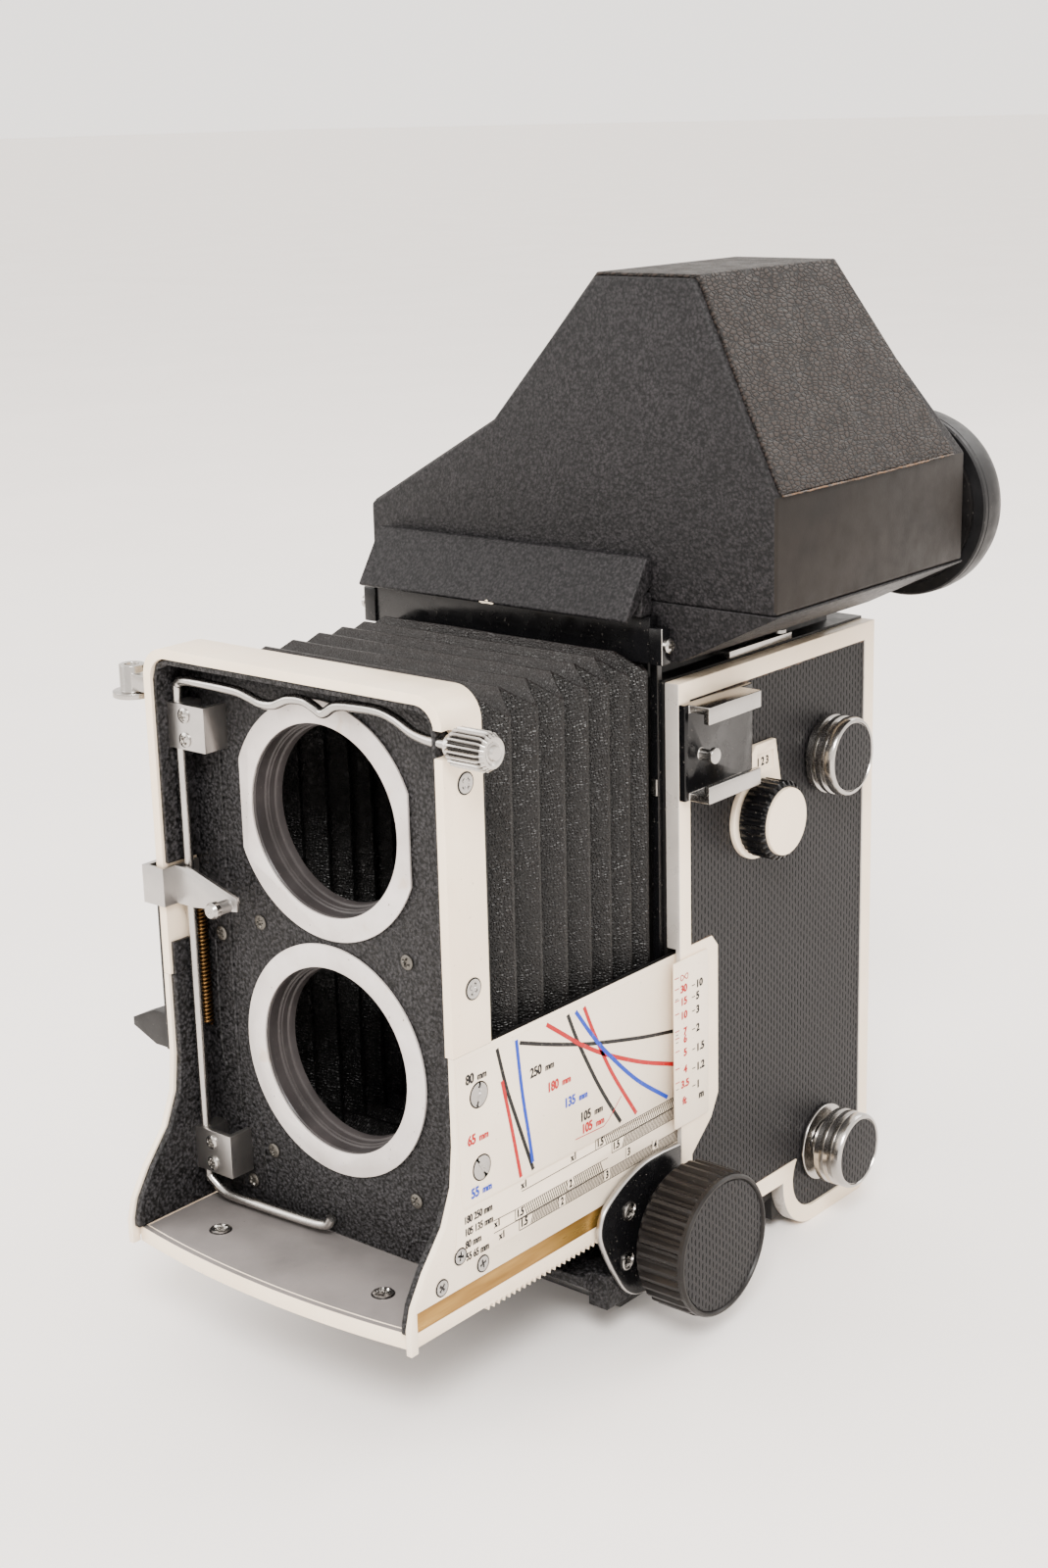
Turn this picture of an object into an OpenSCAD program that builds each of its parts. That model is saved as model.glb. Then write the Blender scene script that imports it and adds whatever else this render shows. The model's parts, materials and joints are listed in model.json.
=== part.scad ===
// Twin lens reflex camera with a bellows focusing front and a mirror eye-level finder.
// Origin: on the table under the middle of the body. +Z up, the front faces -Y, +X is the right
// hand side seen from the front. Millimetres.

/* [Body] */
// Half of the body's width over its side covers
body_hw = 41; // [40.5:0.1:42]
// Front face of the body
body_front = -37; // [-38:0.5:-36.5]
// Rear edge of the side covers
body_rear = 37.5; // [37:0.5:39]
// Top edge of the side covers
body_top = 137.5; // [137:0.1:137.8]
// Height of the side covers' lower edge
cover_bottom = 13.5; // [12:0.5:14]
// Width of the bright trim around the side covers
trim_w = 4; // [3:0.1:4.5]

/* [Front standard] */
// Half of the standard's width over its side walls
std_hw = 39.5; // [39.3:0.1:39.6]
// Front edge of the standard's frame
std_front = -106.5; // [-108:0.5:-106]
// Rear edge of the standard's frame
std_back = -95.5; // [-96:0.1:-95]
// Top of the standard
std_top = 148.7; // [148:0.1:149.5]
// Height where the frame meets the chart plates
chart_top = 79.8; // [78:0.1:80]
// Height of the viewing lens axis
upper_axis = 117; // [116:0.5:118]
// Distance between the two lens axes
lens_pitch = 50; // [49:0.5:50]
// Radius of the lens openings
lens_r = 19.55; // [19:0.05:20]
// Outer radius of the lens rings
ring_r = 24.4; // [24:0.1:24.5]

/* [Focusing] */
// Forward and backward place of the focusing shaft
shaft_y = -43.5; // [-44:0.1:-43]
// Height of the focusing shaft
shaft_z = 21.4; // [21.4:0.1:21.4]
// Teeth on each pinion
pinion_teeth = 16; // [16:1:16]
// Tooth module of pinion and rack
tooth_module = 0.5; // [0.5:0.1:0.5]
// Radius of the focusing knobs
focus_knob_r = 15.5; // [14:0.1:15.6]
// Outer face of the focusing knobs
focus_knob_x = 56.8; // [55:0.1:58]

/* [Film transport] */
// Forward and backward place of the spool axes
spool_y = 17.8; // [17:0.1:18.5]
// Height of the upper spool axis
spool_top_z = 111.2; // [110:0.1:112]
// Height of the lower spool axis
spool_low_z = 18.4; // [18.4:0.1:19]
// Radius of the film knobs
film_knob_r = 8.7; // [8:0.1:9.5]

/* [Finder] */
// Front face of the finder
finder_front = -38; // [-38:0.1:-37.5]
// Rear face of the finder's lower part
finder_rear = 33.5; // [32:0.1:34]
// Height of the joint between finder base and finder housing
finder_seam = 154; // [153:0.1:155]
// Height of the finder's ridge
finder_top = 217.2; // [215:0.1:219]
// Sideways place of the eyepiece
eye_x = 47.5; // [47:0.1:48]
// Height of the eyepiece
eye_z = 164; // [163.5:0.1:164.5]

/* [Hidden] */
$fn = 48;

gap = 0.3;                       // space between bodies that move past each other
fit = 0.05;                      // radial play of a running fit
shell_hw = 37.6;                 // half width of the inner body casting
wall = 2.6;                      // wall of the inner body casting
shell_bottom = 9;                // underside of the inner body casting
shell_top = 138;                 // top of the inner body casting
well_bottom = 3.4;               // underside of the lower spool's well
neck_top = 142;                  // top of the neck that carries the finder
neck_hw = 33.5;                  // half width of that neck
chamber_rear = 33;               // rear edge of the inner body casting
side_x = 39.8;                   // floor of the rail pockets in the side covers
leather_floor = 40.2;            // floor of the leather field in the side covers
leather_face = 40.7;             // outer face of the side leather
lower_axis = upper_axis - lens_pitch;
ring_face = -98;                 // front face of the lens rings
panel_face = -97.4;              // front face of the black panel
tube_back = -90.8;               // rear end of the lens tubes
plate_in = 38.2;                 // inner face of the rail plates
rail_bottom = 25.95;             // root line of the rack
rail_top = 28.9;                 // top of the rack bars
guide_top = 33;                  // top of the bright guide strips
rail_rear = -34;                 // rear end of rails and chart plates
cheek_front = -121;              // foremost point of the flared cheeks
tray_top = 28.3;                 // upper face of the front tray
shaft_r = 2.5;                   // radius of the focusing shaft
bracket_in = 39.9;               // inner face of the focusing brackets
bracket_out = 41.5;              // outer face of the focusing brackets
knob_back = 44.3;                // inner face of the focusing knobs
rod_x = -35.0;                   // bail wire's hinge rod, sideways
rod_y = -101.8;                  // bail wire's hinge rod, forwards
wire_r = 1.05;                   // radius of the bail wire
bail_knob_y = -104.8;            // axis of the bail's knurled knob
lock_y = -9.5;                   // axis of the lens lock dial
lock_z = 103.5;
pitch_r = pinion_teeth * tooth_module / 2;
tooth_pitch = 3.14159265 * tooth_module;
pitch_line = shaft_z + pitch_r;
door_axis_y = 35.3;              // hinge of the rear door
door_axis_z = 16;
housing_wall = 2;                // wall of the finder housing
leather_t = 0.7;                 // leather on the finder
tripod_y = -22;                  // place of the tripod socket
stud_z = 140;                    // height of the bail's threaded stud

// ---- helpers ----

// children's 2D X becomes Y and 2D Y becomes Z; extruded from x0 to x1
module along_x(x0, x1) {
    translate([x0, 0, 0]) rotate([90, 0, 90]) linear_extrude(x1 - x0) children();
}

// children's 2D X stays X and 2D Y becomes Z; extruded from y0 to y1
module along_y(y0, y1) {
    translate([0, y1, 0]) rotate([90, 0, 0]) linear_extrude(y1 - y0) children();
}

module both_sides() {
    children();
    mirror([1, 0, 0]) children();
}

// box from its low corner to its high corner
module block(low, high) {
    translate(low) cube(high - low);
}

// rectangle with round corners, from its low corner to its high corner
module round_rect(low, high, r) {
    translate([low.x + r, low.y]) square([high.x - low.x - 2 * r, high.y - low.y]);
    translate([low.x, low.y + r]) square([high.x - low.x, high.y - low.y - 2 * r]);
    for (u = [low.x + r, high.x - r], v = [low.y + r, high.y - r]) translate([u, v]) circle(r);
}

// cylinder along X or Y through a point, given its two ends
module rod_x_dir(x0, x1, y, z, r) {
    translate([x0, y, z]) rotate([0, 90, 0]) cylinder(r = r, h = x1 - x0);
}
module rod_y_dir(y0, y1, x, z, r) {
    translate([x, y1, z]) rotate([90, 0, 0]) cylinder(r = r, h = y1 - y0);
}

// disc with grooves or ribs around its rim, as one outline
function ribbed(r, depth, count) = [for (i = [0 : 4 * count - 1])
    let (a = 360 * i / (4 * count), q = i % 4) (q < 2 ? r : r - depth) * [cos(a), sin(a)]];

// ---- fixed body ----

// outline of a side cover: the body's side with a foot lobe at the rear (Y, Z)
module cover_outline(inset) {
    translate([body_front + inset, cover_bottom + inset])
        square([body_rear - body_front - 2 * inset, body_top - cover_bottom - 2 * inset]);
    translate([14.5, 12.5]) circle(12.5 - inset);
    translate([14.5, inset]) square([19, 22]);
    translate([30, 4 + inset / 2]) square([body_rear - 30 - inset, 22]);
    if (inset == 0) translate([body_rear - 4, 4]) circle(4);
}

// the step in the trim that carries the distance scale (Y, Z)
module scale_step() {
    polygon([[-34, 81], [-25.5, 81], [-23.4, 78.5], [-23.4, 45], [-26, 40], [-34, 33]]);
}

module leather_outline(with_step) {
    difference() {
        cover_outline(trim_w);
        if (with_step) scale_step();
    }
}

module side_cover(with_step, shaft_heights) {
    difference() {
        along_x(shell_hw, body_hw) cover_outline(0);
        along_x(leather_floor, body_hw + 1) leather_outline(with_step);
        block([shell_hw - 1, body_front - 1, 23.5], [side_x, 36, 81]);
        // bearing for the door's pivots
        rod_x_dir(shell_hw - 1, 39.4, door_axis_y, door_axis_z, 1.4 + fit);
        // bores for the shafts of film knobs and crank
        for (z = shaft_heights) rod_x_dir(shell_hw - 1, body_hw + 1, spool_y, z, 2.4 + fit);
    }
}

module side_cover_right() {
    color("#d9d3c2") difference() {
        side_cover(true, [spool_top_z, spool_low_z]);
        // bore for the lens lock dial's shaft
        rod_x_dir(shell_hw - 1, body_hw + 1, lock_y, lock_z, 2 + fit);
    }
}

module side_cover_left() {
    color("#d9d3c2") mirror([1, 0, 0]) side_cover(false, [spool_top_z]);
}

module side_leathers() {
    color("#3b3d42") {
        difference() {
            along_x(leather_floor, leather_face) leather_outline(true);
            rod_x_dir(leather_floor - 1, body_hw, lock_y, lock_z, 2.4);
            for (z = [spool_top_z, spool_low_z])
                rod_x_dir(leather_floor - 1, body_hw, spool_y, z, 2.8);
        }
        mirror([1, 0, 0]) difference() {
            along_x(leather_floor, leather_face) leather_outline(false);
            rod_x_dir(leather_floor - 1, body_hw, spool_y, spool_top_z, 2.8);
        }
    }
}

module body_shell() {
    color("#17171a") difference() {
        union() {
            block([-shell_hw, body_front, shell_bottom], [shell_hw, chamber_rear, shell_top]);
            block([-shell_hw, chamber_rear - 1, shell_top - 2.5], [shell_hw, body_rear, shell_top]);
            block([-neck_hw, body_front, shell_top - 1], [neck_hw, finder_rear - 4, neck_top]);
            // well of the lower spool, between the two feet
            block([-shell_hw, 2.3, well_bottom], [shell_hw, chamber_rear, shell_bottom + 1]);
        }
        // the two chambers behind the bellows, open to the rear door
        block([-35, body_front + wall, shell_bottom + wall], [35, chamber_rear + 1, 135.4]);
        block([-35, 4.3, well_bottom + 1.8], [35, chamber_rear + 1, 20]);
        // front opening for the bellows
        block([-33, body_front - 1, 31], [33, body_front + wall + 1, 135.4]);
        // the opening under the finder for the focusing screen
        block([-28.6, -31.6, 138.4], [28.6, 25.6, neck_top + 1]);
        block([-27, -30, 134], [27, 24, 139]);
        // slots for the carriage and its rails
        block([-shell_hw - 1, body_front - 1, 25.5], [shell_hw + 1, 30, 29.6]);
        rod_x_dir(-40, 40, spool_y, spool_top_z, 2.4 + fit);
        rod_x_dir(0, 40, spool_y, spool_low_z, 2.4 + fit);
        rod_x_dir(34, shell_hw + 1, lock_y, lock_z, 2 + fit);
    }
    // fixed pin of the lower spool
    color("#c4c4c4") rod_x_dir(-35.1, -27, spool_y, spool_low_z, 2.4);
}

module base_block() {
    color("#1b1b1c") difference() {
        union() {
            intersection() {
                along_x(-37, 37) polygon([[-46, 0], [-66, 15], [-66, 17.2], [-37.2, 17.2],
                    [-37.2, 8.9], [2, 8.9], [2, 0]]);
                along_y(-70, 40) polygon([[-31, 0], [31, 0], [36.5, 8], [36.5, 17.2],
                    [-36.5, 17.2], [-36.5, 8]]);
            }
            // bearings of the focusing shaft
            both_sides() block([28, shaft_y - 4.5, 16], [33, shaft_y + 4.5, 25.4]);
            // spacers that carry the two brackets
            both_sides() block([35, -62, 9], [bracket_in, -50, 16.6]);
        }
        rod_x_dir(-40, 40, shaft_y, shaft_z, shaft_r + fit);
        // trough for the pinions
        both_sides() block([34.5, shaft_y - 5.2, 16.2], [40, shaft_y + 5.2, 30]);
        // seat of the tripod plate
        translate([0, tripod_y, -1]) cylinder(r = 14, h = 8);
    }
}

module tripod_plate() {
    color("#b9b7b0") difference() {
        translate([0, tripod_y, 0]) cylinder(r = 14, h = 7);
        translate([0, tripod_y, -1]) cylinder(r = 3.175, h = 7);
    }
}

module focus_brackets() {
    color("#202022") both_sides() difference() {
        along_x(bracket_in, bracket_out) polygon([[-65.8, 25.6], [-65.8, 34.5], [-58, 37.6],
            [-48, 38.8], [-37.4, 38.2], [-37.4, 12], [-59.2, 12]]);
        rod_x_dir(bracket_in - 1, bracket_out + 1, shaft_y, shaft_z, shaft_r + fit);
    }
}

module pan_head_x(x, y, z, r, h) {
    rod_x_dir(x, x + h, y, z, r);
}

module body_screws() {
    color("#d8d8d8") both_sides() {
        pan_head_x(bracket_out, -56.3, 30, 1.9, 0.8);
        pan_head_x(bracket_out, -57.2, 19, 1.9, 0.8);
        pan_head_x(40.4, -39.9, 146, 1.5, 1.6);
    }
}

// distance scale on the right hand cover
module scale_plate() {
    color("#e9e5dc") block([body_hw, -39.8, 42], [body_hw + 0.6, -27.8, 79]);
}

module accessory_shoe() {
    color("#1a1a1a") block([body_hw, -37, 113.2], [42.6, -13, 133.3]);
    // two rails with inward lips
    color("#d9d6cf") for (z = [[131.7, 133.3, 129.7], [113.2, 114.8, 116.8]]) {
        block([42.6, -35.6, z[0]], [47.6, -17.2, z[1]]);
        block([46.2, -35.6, min(z)], [47.6, -17.2, max(z)]);
    }
    color("#c9c9c9") {
        rod_x_dir(42.6, 45.4, -31.5, 122.3, 1.1);
        rod_x_dir(45.4, 46.4, -31.5, 122.3, 1.7);
    }
}

// cream plate of the lens lock dial and chrome plate under the lower film knob
module dial_plates() {
    color("#ddd6c6") difference() {
        along_x(leather_face, 42) union() {
            translate([lock_y, lock_z]) circle(9.3);
            polygon([[-15.5, 108], [-12.8, 112.9], [-12.8, 117], [-10.6, 119.2], [-3.4, 119.2],
                [-0.6, 106], [-4, 100]]);
        }
        rod_x_dir(leather_face - 1, 43, lock_y, lock_z, 2 + fit);
        block([41.5, -10.2, 113], [43, -4, 117]);
    }
    color("#cfccc4") difference() {
        rod_x_dir(body_hw - 0.1, 41.9, spool_y, spool_low_z, 8.9);
        rod_x_dir(40, 43, spool_y, spool_low_z, 3);
        block([40, spool_y - 10, 0], [body_hw, spool_y + 10, 40]);
    }
}

module front_strip() {
    color("#101012") block([-37, -41, 142], [37, -38.6, 151.4]);
    color("#101012") difference() {
        block([-37, -38.6, 30], [37, body_front, 151.4]);
        block([-35.2, -39, 31], [35.2, body_front + 1, 141.8]);
        block([-38, finder_front - 0.3, 141.8], [38, body_front + 1, 160]);
    }
}

module nameplate() {
    color("#1d1d1f") {
        along_x(-36, 36) polygon([[-47.7, 151.6], [-46.6, 151], [-38.6, 157.4], [-38.6, 163],
            [-40.2, 163.2]]);
        block([-36, -42.5, 151.4], [36, -38.6, 156]);
    }
}

module hook_brackets() {
    color("#1c1c1e") both_sides() {
        block([37, -41.4, 142], [39.2, -38.7, 149.6]);
        block([39.2, -41.4, 142], [40.4, -38.7, 149.6]);
    }
}

// surface-silvered mirror behind the viewing lens, at 45 degrees
module viewing_mirror() {
    color("#aab4bc") along_x(-35, 33.5) polygon([[-24, 94], [-22.6, 92.6], [17.4, 132.6], [16, 134]]);
}

module focusing_screen() {
    color("#dfe8ea") block([-28.4, -31.4, 138.4], [28.4, 25.4, 140.4]);
}

module chamber_divider() {
    color("#141416") block([-35, body_front + wall, 90.6], [35, 4, 92]);
}

module film_gate() {
    color("#2a2a2c") difference() {
        block([-35, 26.6, 31], [35, 28.4, 97]);
        block([-28, 25, 39], [28, 30, 95]);
    }
}

module film_rollers() {
    color("#c4c4c4") for (z = [33.4, 100.4]) rod_x_dir(-35, 35, 30.2, z, 1.7);
}

module bellows() {
    color("#26211f") difference() {
        block([-36.5, std_back + 0.5, 29.8], [36.5, -41.2, 144.8]);
        block([-34, std_back - 1, 32], [34, -38, 141.5]);
    }
    color("#26211f") difference() {
        block([-35.2, -41.3, 31], [35.2, body_front, 141.8]);
        block([-33, -42, 33], [33, body_front + 1, 135.4]);
    }
}

// ---- front standard ----

module standard_frame() {
    color("#ded9cb") difference() {
        along_y(std_front, std_back) union() {
            round_rect([-std_hw, chart_top], [std_hw, std_top], 6);
            translate([-std_hw, chart_top]) square([2 * std_hw, 20]);
        }
        along_y(std_front - 1, std_back + 1) union() {
            round_rect([-37.5, chart_top - 1], [37.5, std_top - 2], 4.5);
            translate([-37.5, chart_top - 1]) square([75, 20]);
        }
        // slot for the bail's stud
        block([37, std_front - 1, stud_z - 2.6], [40, bail_knob_y, stud_z + 2.6]);
        rod_x_dir(37, 40, bail_knob_y, stud_z, 2.6);
    }
}

module standard_panel() {
    color("#1f1f20") difference() {
        union() {
            block([-37.5, panel_face, tray_top], [37.5, std_back + 0.5, 142]);
            along_y(panel_face, std_back + 0.5) round_rect([-37.5, 120], [37.5, std_top - 2], 4.7);
        }
        for (z = [upper_axis, lower_axis]) rod_y_dir(-100, -90, 0, z, 21);
    }
}

// side view of the cheek that flares forward at the standard's foot (Y, Z)
module cheek_outline() {
    polygon([[std_front, chart_top], [std_front, 62], [-107.4, 54], [-110.3, 47], [-116.2, 39.9],
        [-119.8, 34.2], [cheek_front, 30], [cheek_front, 24.7], [-95, 24.7], [-95, chart_top]]);
}

module lens_ring(z, flats) {
    difference() {
        intersection() {
            rod_y_dir(ring_face, panel_face, 0, z, ring_r);
            block([-flats, -100, z - 30], [flats, -90, z + 30]);
        }
        rod_y_dir(-100, -90, 0, z, lens_r);
    }
}

module lens_ring_upper() {
    color("#cfcdc7") lens_ring(upper_axis, 22.6);
}

module lens_ring_lower() {
    color("#cfcdc7") lens_ring(lower_axis, 30);
}

// dark barrels behind the rings, each with an inner step
module lens_tubes() {
    color("#151516") for (z = [upper_axis, lower_axis]) difference() {
        rod_y_dir(panel_face, tube_back, 0, z, 21);
        rod_y_dir(-100, -92.4, 0, z, lens_r);
        rod_y_dir(-93, -90, 0, z, 18);
    }
}

module standard_screws() {
    color("#9a9a96") {
        for (p = [[-19.4, 92.3], [-31.1, 87.6], [20.5, 92.3], [-19.3, 42.2], [-26, 33.6], [20.5, 42.2]])
            rod_y_dir(panel_face - 0.5, panel_face, p.x, p.y, 1.5);
        for (z = [134.9, 129.9, 42.9, 38.2]) rod_y_dir(-104.1, -103.5, -31.6, z, 1.6);
        for (x = [-22.8, 22.8]) translate([x, -110.6, tray_top]) cylinder(r = 2.1, h = 0.7);
        both_sides() {
            for (p = [[-100.5, 131.8], [-100.2, 92]]) pan_head_x(std_hw, p.x, p.y, 1.9, 0.3);
            for (p = [[-99.7, 70.6], [-99.5, 55.6]]) pan_head_x(std_hw, p.x, p.y, 2.5, 0.3);
            for (p = [[-100, 35.6], [-111.9, 35.4], [-106.4, 39.7]])
                pan_head_x(std_hw, p.x, p.y, 1.5, 0.15);
        }
    }
}

// two clamps that hold the bail's hinge rod
module rod_clamps() {
    color("#c9c8c4") for (z = [[127.8, 137], [36, 45.4]]) difference() {
        block([-37.2, -103.5, z[0]], [-26, panel_face, z[1]]);
        translate([rod_x, rod_y, z[0] - 1]) cylinder(r = wire_r + fit, h = 12);
        block([-33, -102.3, z[0] - 1], [-27.2, panel_face + 1, z[1] + 1]);
    }
}

// cable release socket on the left wall
module cable_socket() {
    color("#c9c8c4") difference() {
        union() {
            block([-44.6, -105.8, 138.8], [-std_hw, -102.2, 142.2]);
            translate([-45.6, -104, 137.2]) cylinder(r = 2.6, h = 6.6);
            translate([-45.6, -104, 137.2]) cylinder(r = 4.2, h = 1.2);
        }
        translate([-45.6, -104, 139]) cylinder(r = 1.5, h = 6);
    }
}

module front_tray() {
    color("#b5b3ae") {
        difference() {
            block([-36.4, -121, 26.6], [36.4, panel_face, tray_top]);
            // the front edge is bowed: a large disc leaves its rim standing
            difference() {
                block([-40, -130, 20], [40, -112, 30]);
                translate([0, 106, 19]) cylinder(r = 227, h = 12, $fn = 300);
            }
        }
        intersection() {
            difference() {
                translate([0, 106, 24.7]) cylinder(r = 228.2, h = 3.4, $fn = 300);
                translate([0, 106, 24]) cylinder(r = 227, h = 5, $fn = 300);
            }
            block([-38, -125, 24], [38, -100, 29]);
        }
    }
}

module chart_plate(s) {
    mirror([s < 0 ? 1 : 0, 0, 0]) {
        along_x(plate_in, std_hw) intersection() {
            cheek_outline();
            union() {
                translate([-130, guide_top]) square([60, 60]);
                translate([-130, 20]) square([11, 20]);
            }
        }
        block([plate_in, std_back, guide_top], [std_hw, rail_rear, 80]);
    }
}

module chart_plate_right() {
    color("#e6e2d8") chart_plate(1);
}

module chart_plate_left() {
    color("#e6e2d8") chart_plate(-1);
}

// bright strips just above the racks
module guide_strips() {
    color("#b08d3c") both_sides() block([plate_in, -119, rail_top], [std_hw - 0.15, rail_rear, guide_top]);
}

// one tooth of the rack, pointing down (Y, Z)
module rack_tooth() {
    polygon([[-0.47, rail_bottom + 0.2], [-0.44, rail_bottom], [-0.1, rail_bottom - 1],
        [0.1, rail_bottom - 1], [0.44, rail_bottom], [0.47, rail_bottom + 0.2]]);
}

module focus_racks() {
    color("#d4d0c4") both_sides() along_x(plate_in, std_hw - 0.1) union() {
        polygon([[-119, rail_bottom], [-119, rail_top], [rail_rear, rail_top], [rail_rear, rail_bottom]]);
        for (i = [-35 : 4]) translate([shaft_y + i * tooth_pitch, 0]) rack_tooth();
    }
}

// floor plate that joins the two rails under the bellows, and the black cheeks of the tray
module carriage() {
    color("#1a1a1b") block([-plate_in, std_back + 0.5, 26.2], [plate_in, -60, 28.2]);
    color("#1a1a1b") both_sides() along_x(37.2, plate_in) difference() {
        intersection() {
            cheek_outline();
            translate([-130, tray_top]) square([60, chart_top - tray_top]);
        }
        translate([panel_face, 0]) square([10, chart_top]);
    }
}

module focus_shaft() {
    color("#8f8f8c") {
        rod_x_dir(-knob_back, knob_back, shaft_y, shaft_z, shaft_r);
        both_sides() along_x(plate_in, std_hw - 0.1) translate([shaft_y, shaft_z]) {
            circle(pitch_r - 0.55);
            for (i = [0 : pinion_teeth - 1]) rotate(90 + (i + 0.5) * 360 / pinion_teeth)
                polygon([[pitch_r - 0.8, -0.42], [pitch_r - 0.55, -0.4], [pitch_r, -0.26],
                    [pitch_r + 0.45, -0.08], [pitch_r + 0.45, 0.08], [pitch_r, 0.26],
                    [pitch_r - 0.55, 0.4], [pitch_r - 0.8, 0.42]]);
        }
    }
}

module focus_knob() {
    along_x(knob_back, knob_back + 10.9) translate([shaft_y, shaft_z])
        polygon(ribbed(focus_knob_r, 0.7, 30));
    rod_x_dir(knob_back + 10.9, focus_knob_x, shaft_y, shaft_z, focus_knob_r - 0.2);
}

module focus_knob_right() {
    color("#232120") focus_knob();
}

module focus_knob_left() {
    color("#232120") mirror([1, 0, 0]) focus_knob();
}

// ---- bail wire ----

// rings of points around a path, joined into one tube
function unit(v) = v / norm(v);
function tube_points(path, r, n) = [for (i = [0 : len(path) - 1])
    let (a = path[max(i - 1, 0)], b = path[min(i + 1, len(path) - 1)], t = unit(b - a),
        side = unit(cross(t, abs(t.y) > 0.9 ? [1, 0, 0] : [0, 1, 0])), up = cross(side, t))
    for (k = [0 : n - 1]) path[i] + r * (side * cos(360 * k / n) + up * sin(360 * k / n))];
module tube(path, r, n = 12) {
    m = len(path);
    polyhedron(tube_points(path, r, n), concat(
        [[for (k = [n - 1 : -1 : 0]) k]],
        [[for (k = [0 : n - 1]) (m - 1) * n + k]],
        [for (i = [0 : m - 2], k = [0 : n - 1])
            [i * n + k, i * n + (k + 1) % n, (i + 1) * n + (k + 1) % n, (i + 1) * n + k]]));
}

// route of the upper arm: along the top, dipping twice around the lens
upper_arm = [[-35, -101.8, 139], [-34.6, -101.8, 140.6], [-33.2, -101.8, 141.5], [-28, -101.7, 141.6],
    [-18.5, -101.6, 141.4], [-14.5, -101.5, 140.6], [-11.5, -101.4, 139.8], [-8, -101.4, 140],
    [-4, -101.4, 141.6], [0, -101.4, 141.9], [2.8, -101.4, 141], [5.2, -101.4, 140.2],
    [8.5, -101.4, 142], [13, -101.5, 142.6], [20, -101.8, 142.8], [25, -102.6, 142],
    [30, -103.8, 140.6], [34, -104.6, 140.1], [37, -104.8, 140]];
lower_arm = [[-35, -101.8, 35.4], [-34.6, -101.8, 33.8], [-33.4, -101.6, 32.6], [-31.8, -101.4, 31.4],
    [-29.6, -101.2, 30.6], [-24, -100.8, 30.4], [-15, -100.4, 30.4], [-6, -100, 30.6],
    [-2.6, -99.8, 31.2], [-1.4, -99.6, 32.8]];

module bail_wire() {
    color("#cfcfcd") {
        translate([rod_x, rod_y, 35.4]) cylinder(r = wire_r, h = 103.6);
        tube(upper_arm, wire_r);
        tube(lower_arm, wire_r);
        rod_x_dir(36.6, 40, bail_knob_y, stud_z, 1.3);
    }
}

module bail_knob() {
    color("#d2cfc8") {
        rod_x_dir(40, 41.4, bail_knob_y, stud_z, 2.2);
        along_x(41.4, 50) translate([bail_knob_y, stud_z]) polygon(ribbed(3.7, 0.35, 18));
        rod_x_dir(50, 51, bail_knob_y, stud_z, 2.6);
    }
}

// ---- shutter release ----

module release_slider() {
    color("#c9c8c4") {
        block([-42.6, -107.7, 94.9], [-36.4, -106.9, 103]);
        block([-37.1, -107.7, 94.9], [-36.4, -97.8, 103]);
        // tab that presses on the spring
        block([-37.1, -100.4, 93.3], [-34, -97.8, 95]);
        along_y(-104.2, -103.4) polygon([[-37.1, 94.9], [-37.1, 103], [-31.4, 103], [-19, 99.2],
            [-19, 96.4], [-31.4, 94.9]]);
        rod_y_dir(-109, -104.1, -21.6, 97.3, 1.4);
        // strip on the outer side, down to the finger lever
        block([-42.6, -107.7, 94.9], [-41.4, -98, 103]);
        block([-42.6, -104.4, 61.5], [-41.4, -99.6, 96]);
        along_y(-104.4, -99.6) polygon([[-41.5, 61.8], [-46, 61.8], [-52.7, 64.6], [-52.7, 66.4],
            [-46, 69.4], [-41.5, 69.4]]);
    }
}

module release_spring() {
    color("#8a6a3a") difference() {
        translate([-35.6, -99.1, 67]) cylinder(r = 1.5, h = 26);
        translate([-35.6, -99.1, 66]) cylinder(r = 1, h = 28);
    }
}

// ---- lens lock dial ----

module lock_dial() {
    color("#161616") {
        rod_x_dir(34, 42.3, lock_y, lock_z, 2);
        // collar that keeps the shaft in its bore
        rod_x_dir(33.9, 34.9, lock_y, lock_z, 3);
        along_x(42.3, 48.4) translate([lock_y, lock_z]) polygon(ribbed(8.5, 0.6, 28));
    }
    color("#ded7c8") rod_x_dir(48.4, 49.5, lock_y, lock_z, 7.2);
}

// ---- film transport ----

// profile of a film knob with two grooves, revolved about X
module knob_body(x0, y, z) {
    translate([x0, y, z]) rotate([0, 90, 0]) rotate_extrude() polygon([[0, 0], [film_knob_r, 0],
        [film_knob_r, 1.4], [film_knob_r - 0.9, 2], [film_knob_r, 2.6], [film_knob_r, 3.8],
        [film_knob_r - 0.9, 4.4], [film_knob_r, 5], [film_knob_r, 6.5], [film_knob_r - 0.5, 7],
        [0, 7]]);
}

module film_knob_upper() {
    color("#cfccc4") {
        knob_body(41.2, spool_y, spool_top_z);
        rod_x_dir(26.8, 41.3, spool_y, spool_top_z, 2.4);
    }
}

module film_knob_lower() {
    color("#cfccc4") {
        knob_body(44.2, spool_y, spool_low_z);
        rod_x_dir(26.8, 44.3, spool_y, spool_low_z, 2.4);
        rod_x_dir(42.2, 44.3, spool_y, spool_low_z, 5.5);
    }
}

// film spool: two flanges and a core, with a bore at each end
module spool(z) {
    difference() {
        union() {
            rod_x_dir(-30.8, 30.8, spool_y, z, 5.6);
            rod_x_dir(-30.8, -29.8, spool_y, z, 12.5);
            rod_x_dir(29.8, 30.8, spool_y, z, 12.5);
        }
        rod_x_dir(-32, 32, spool_y, z, 3);
    }
}

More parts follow.
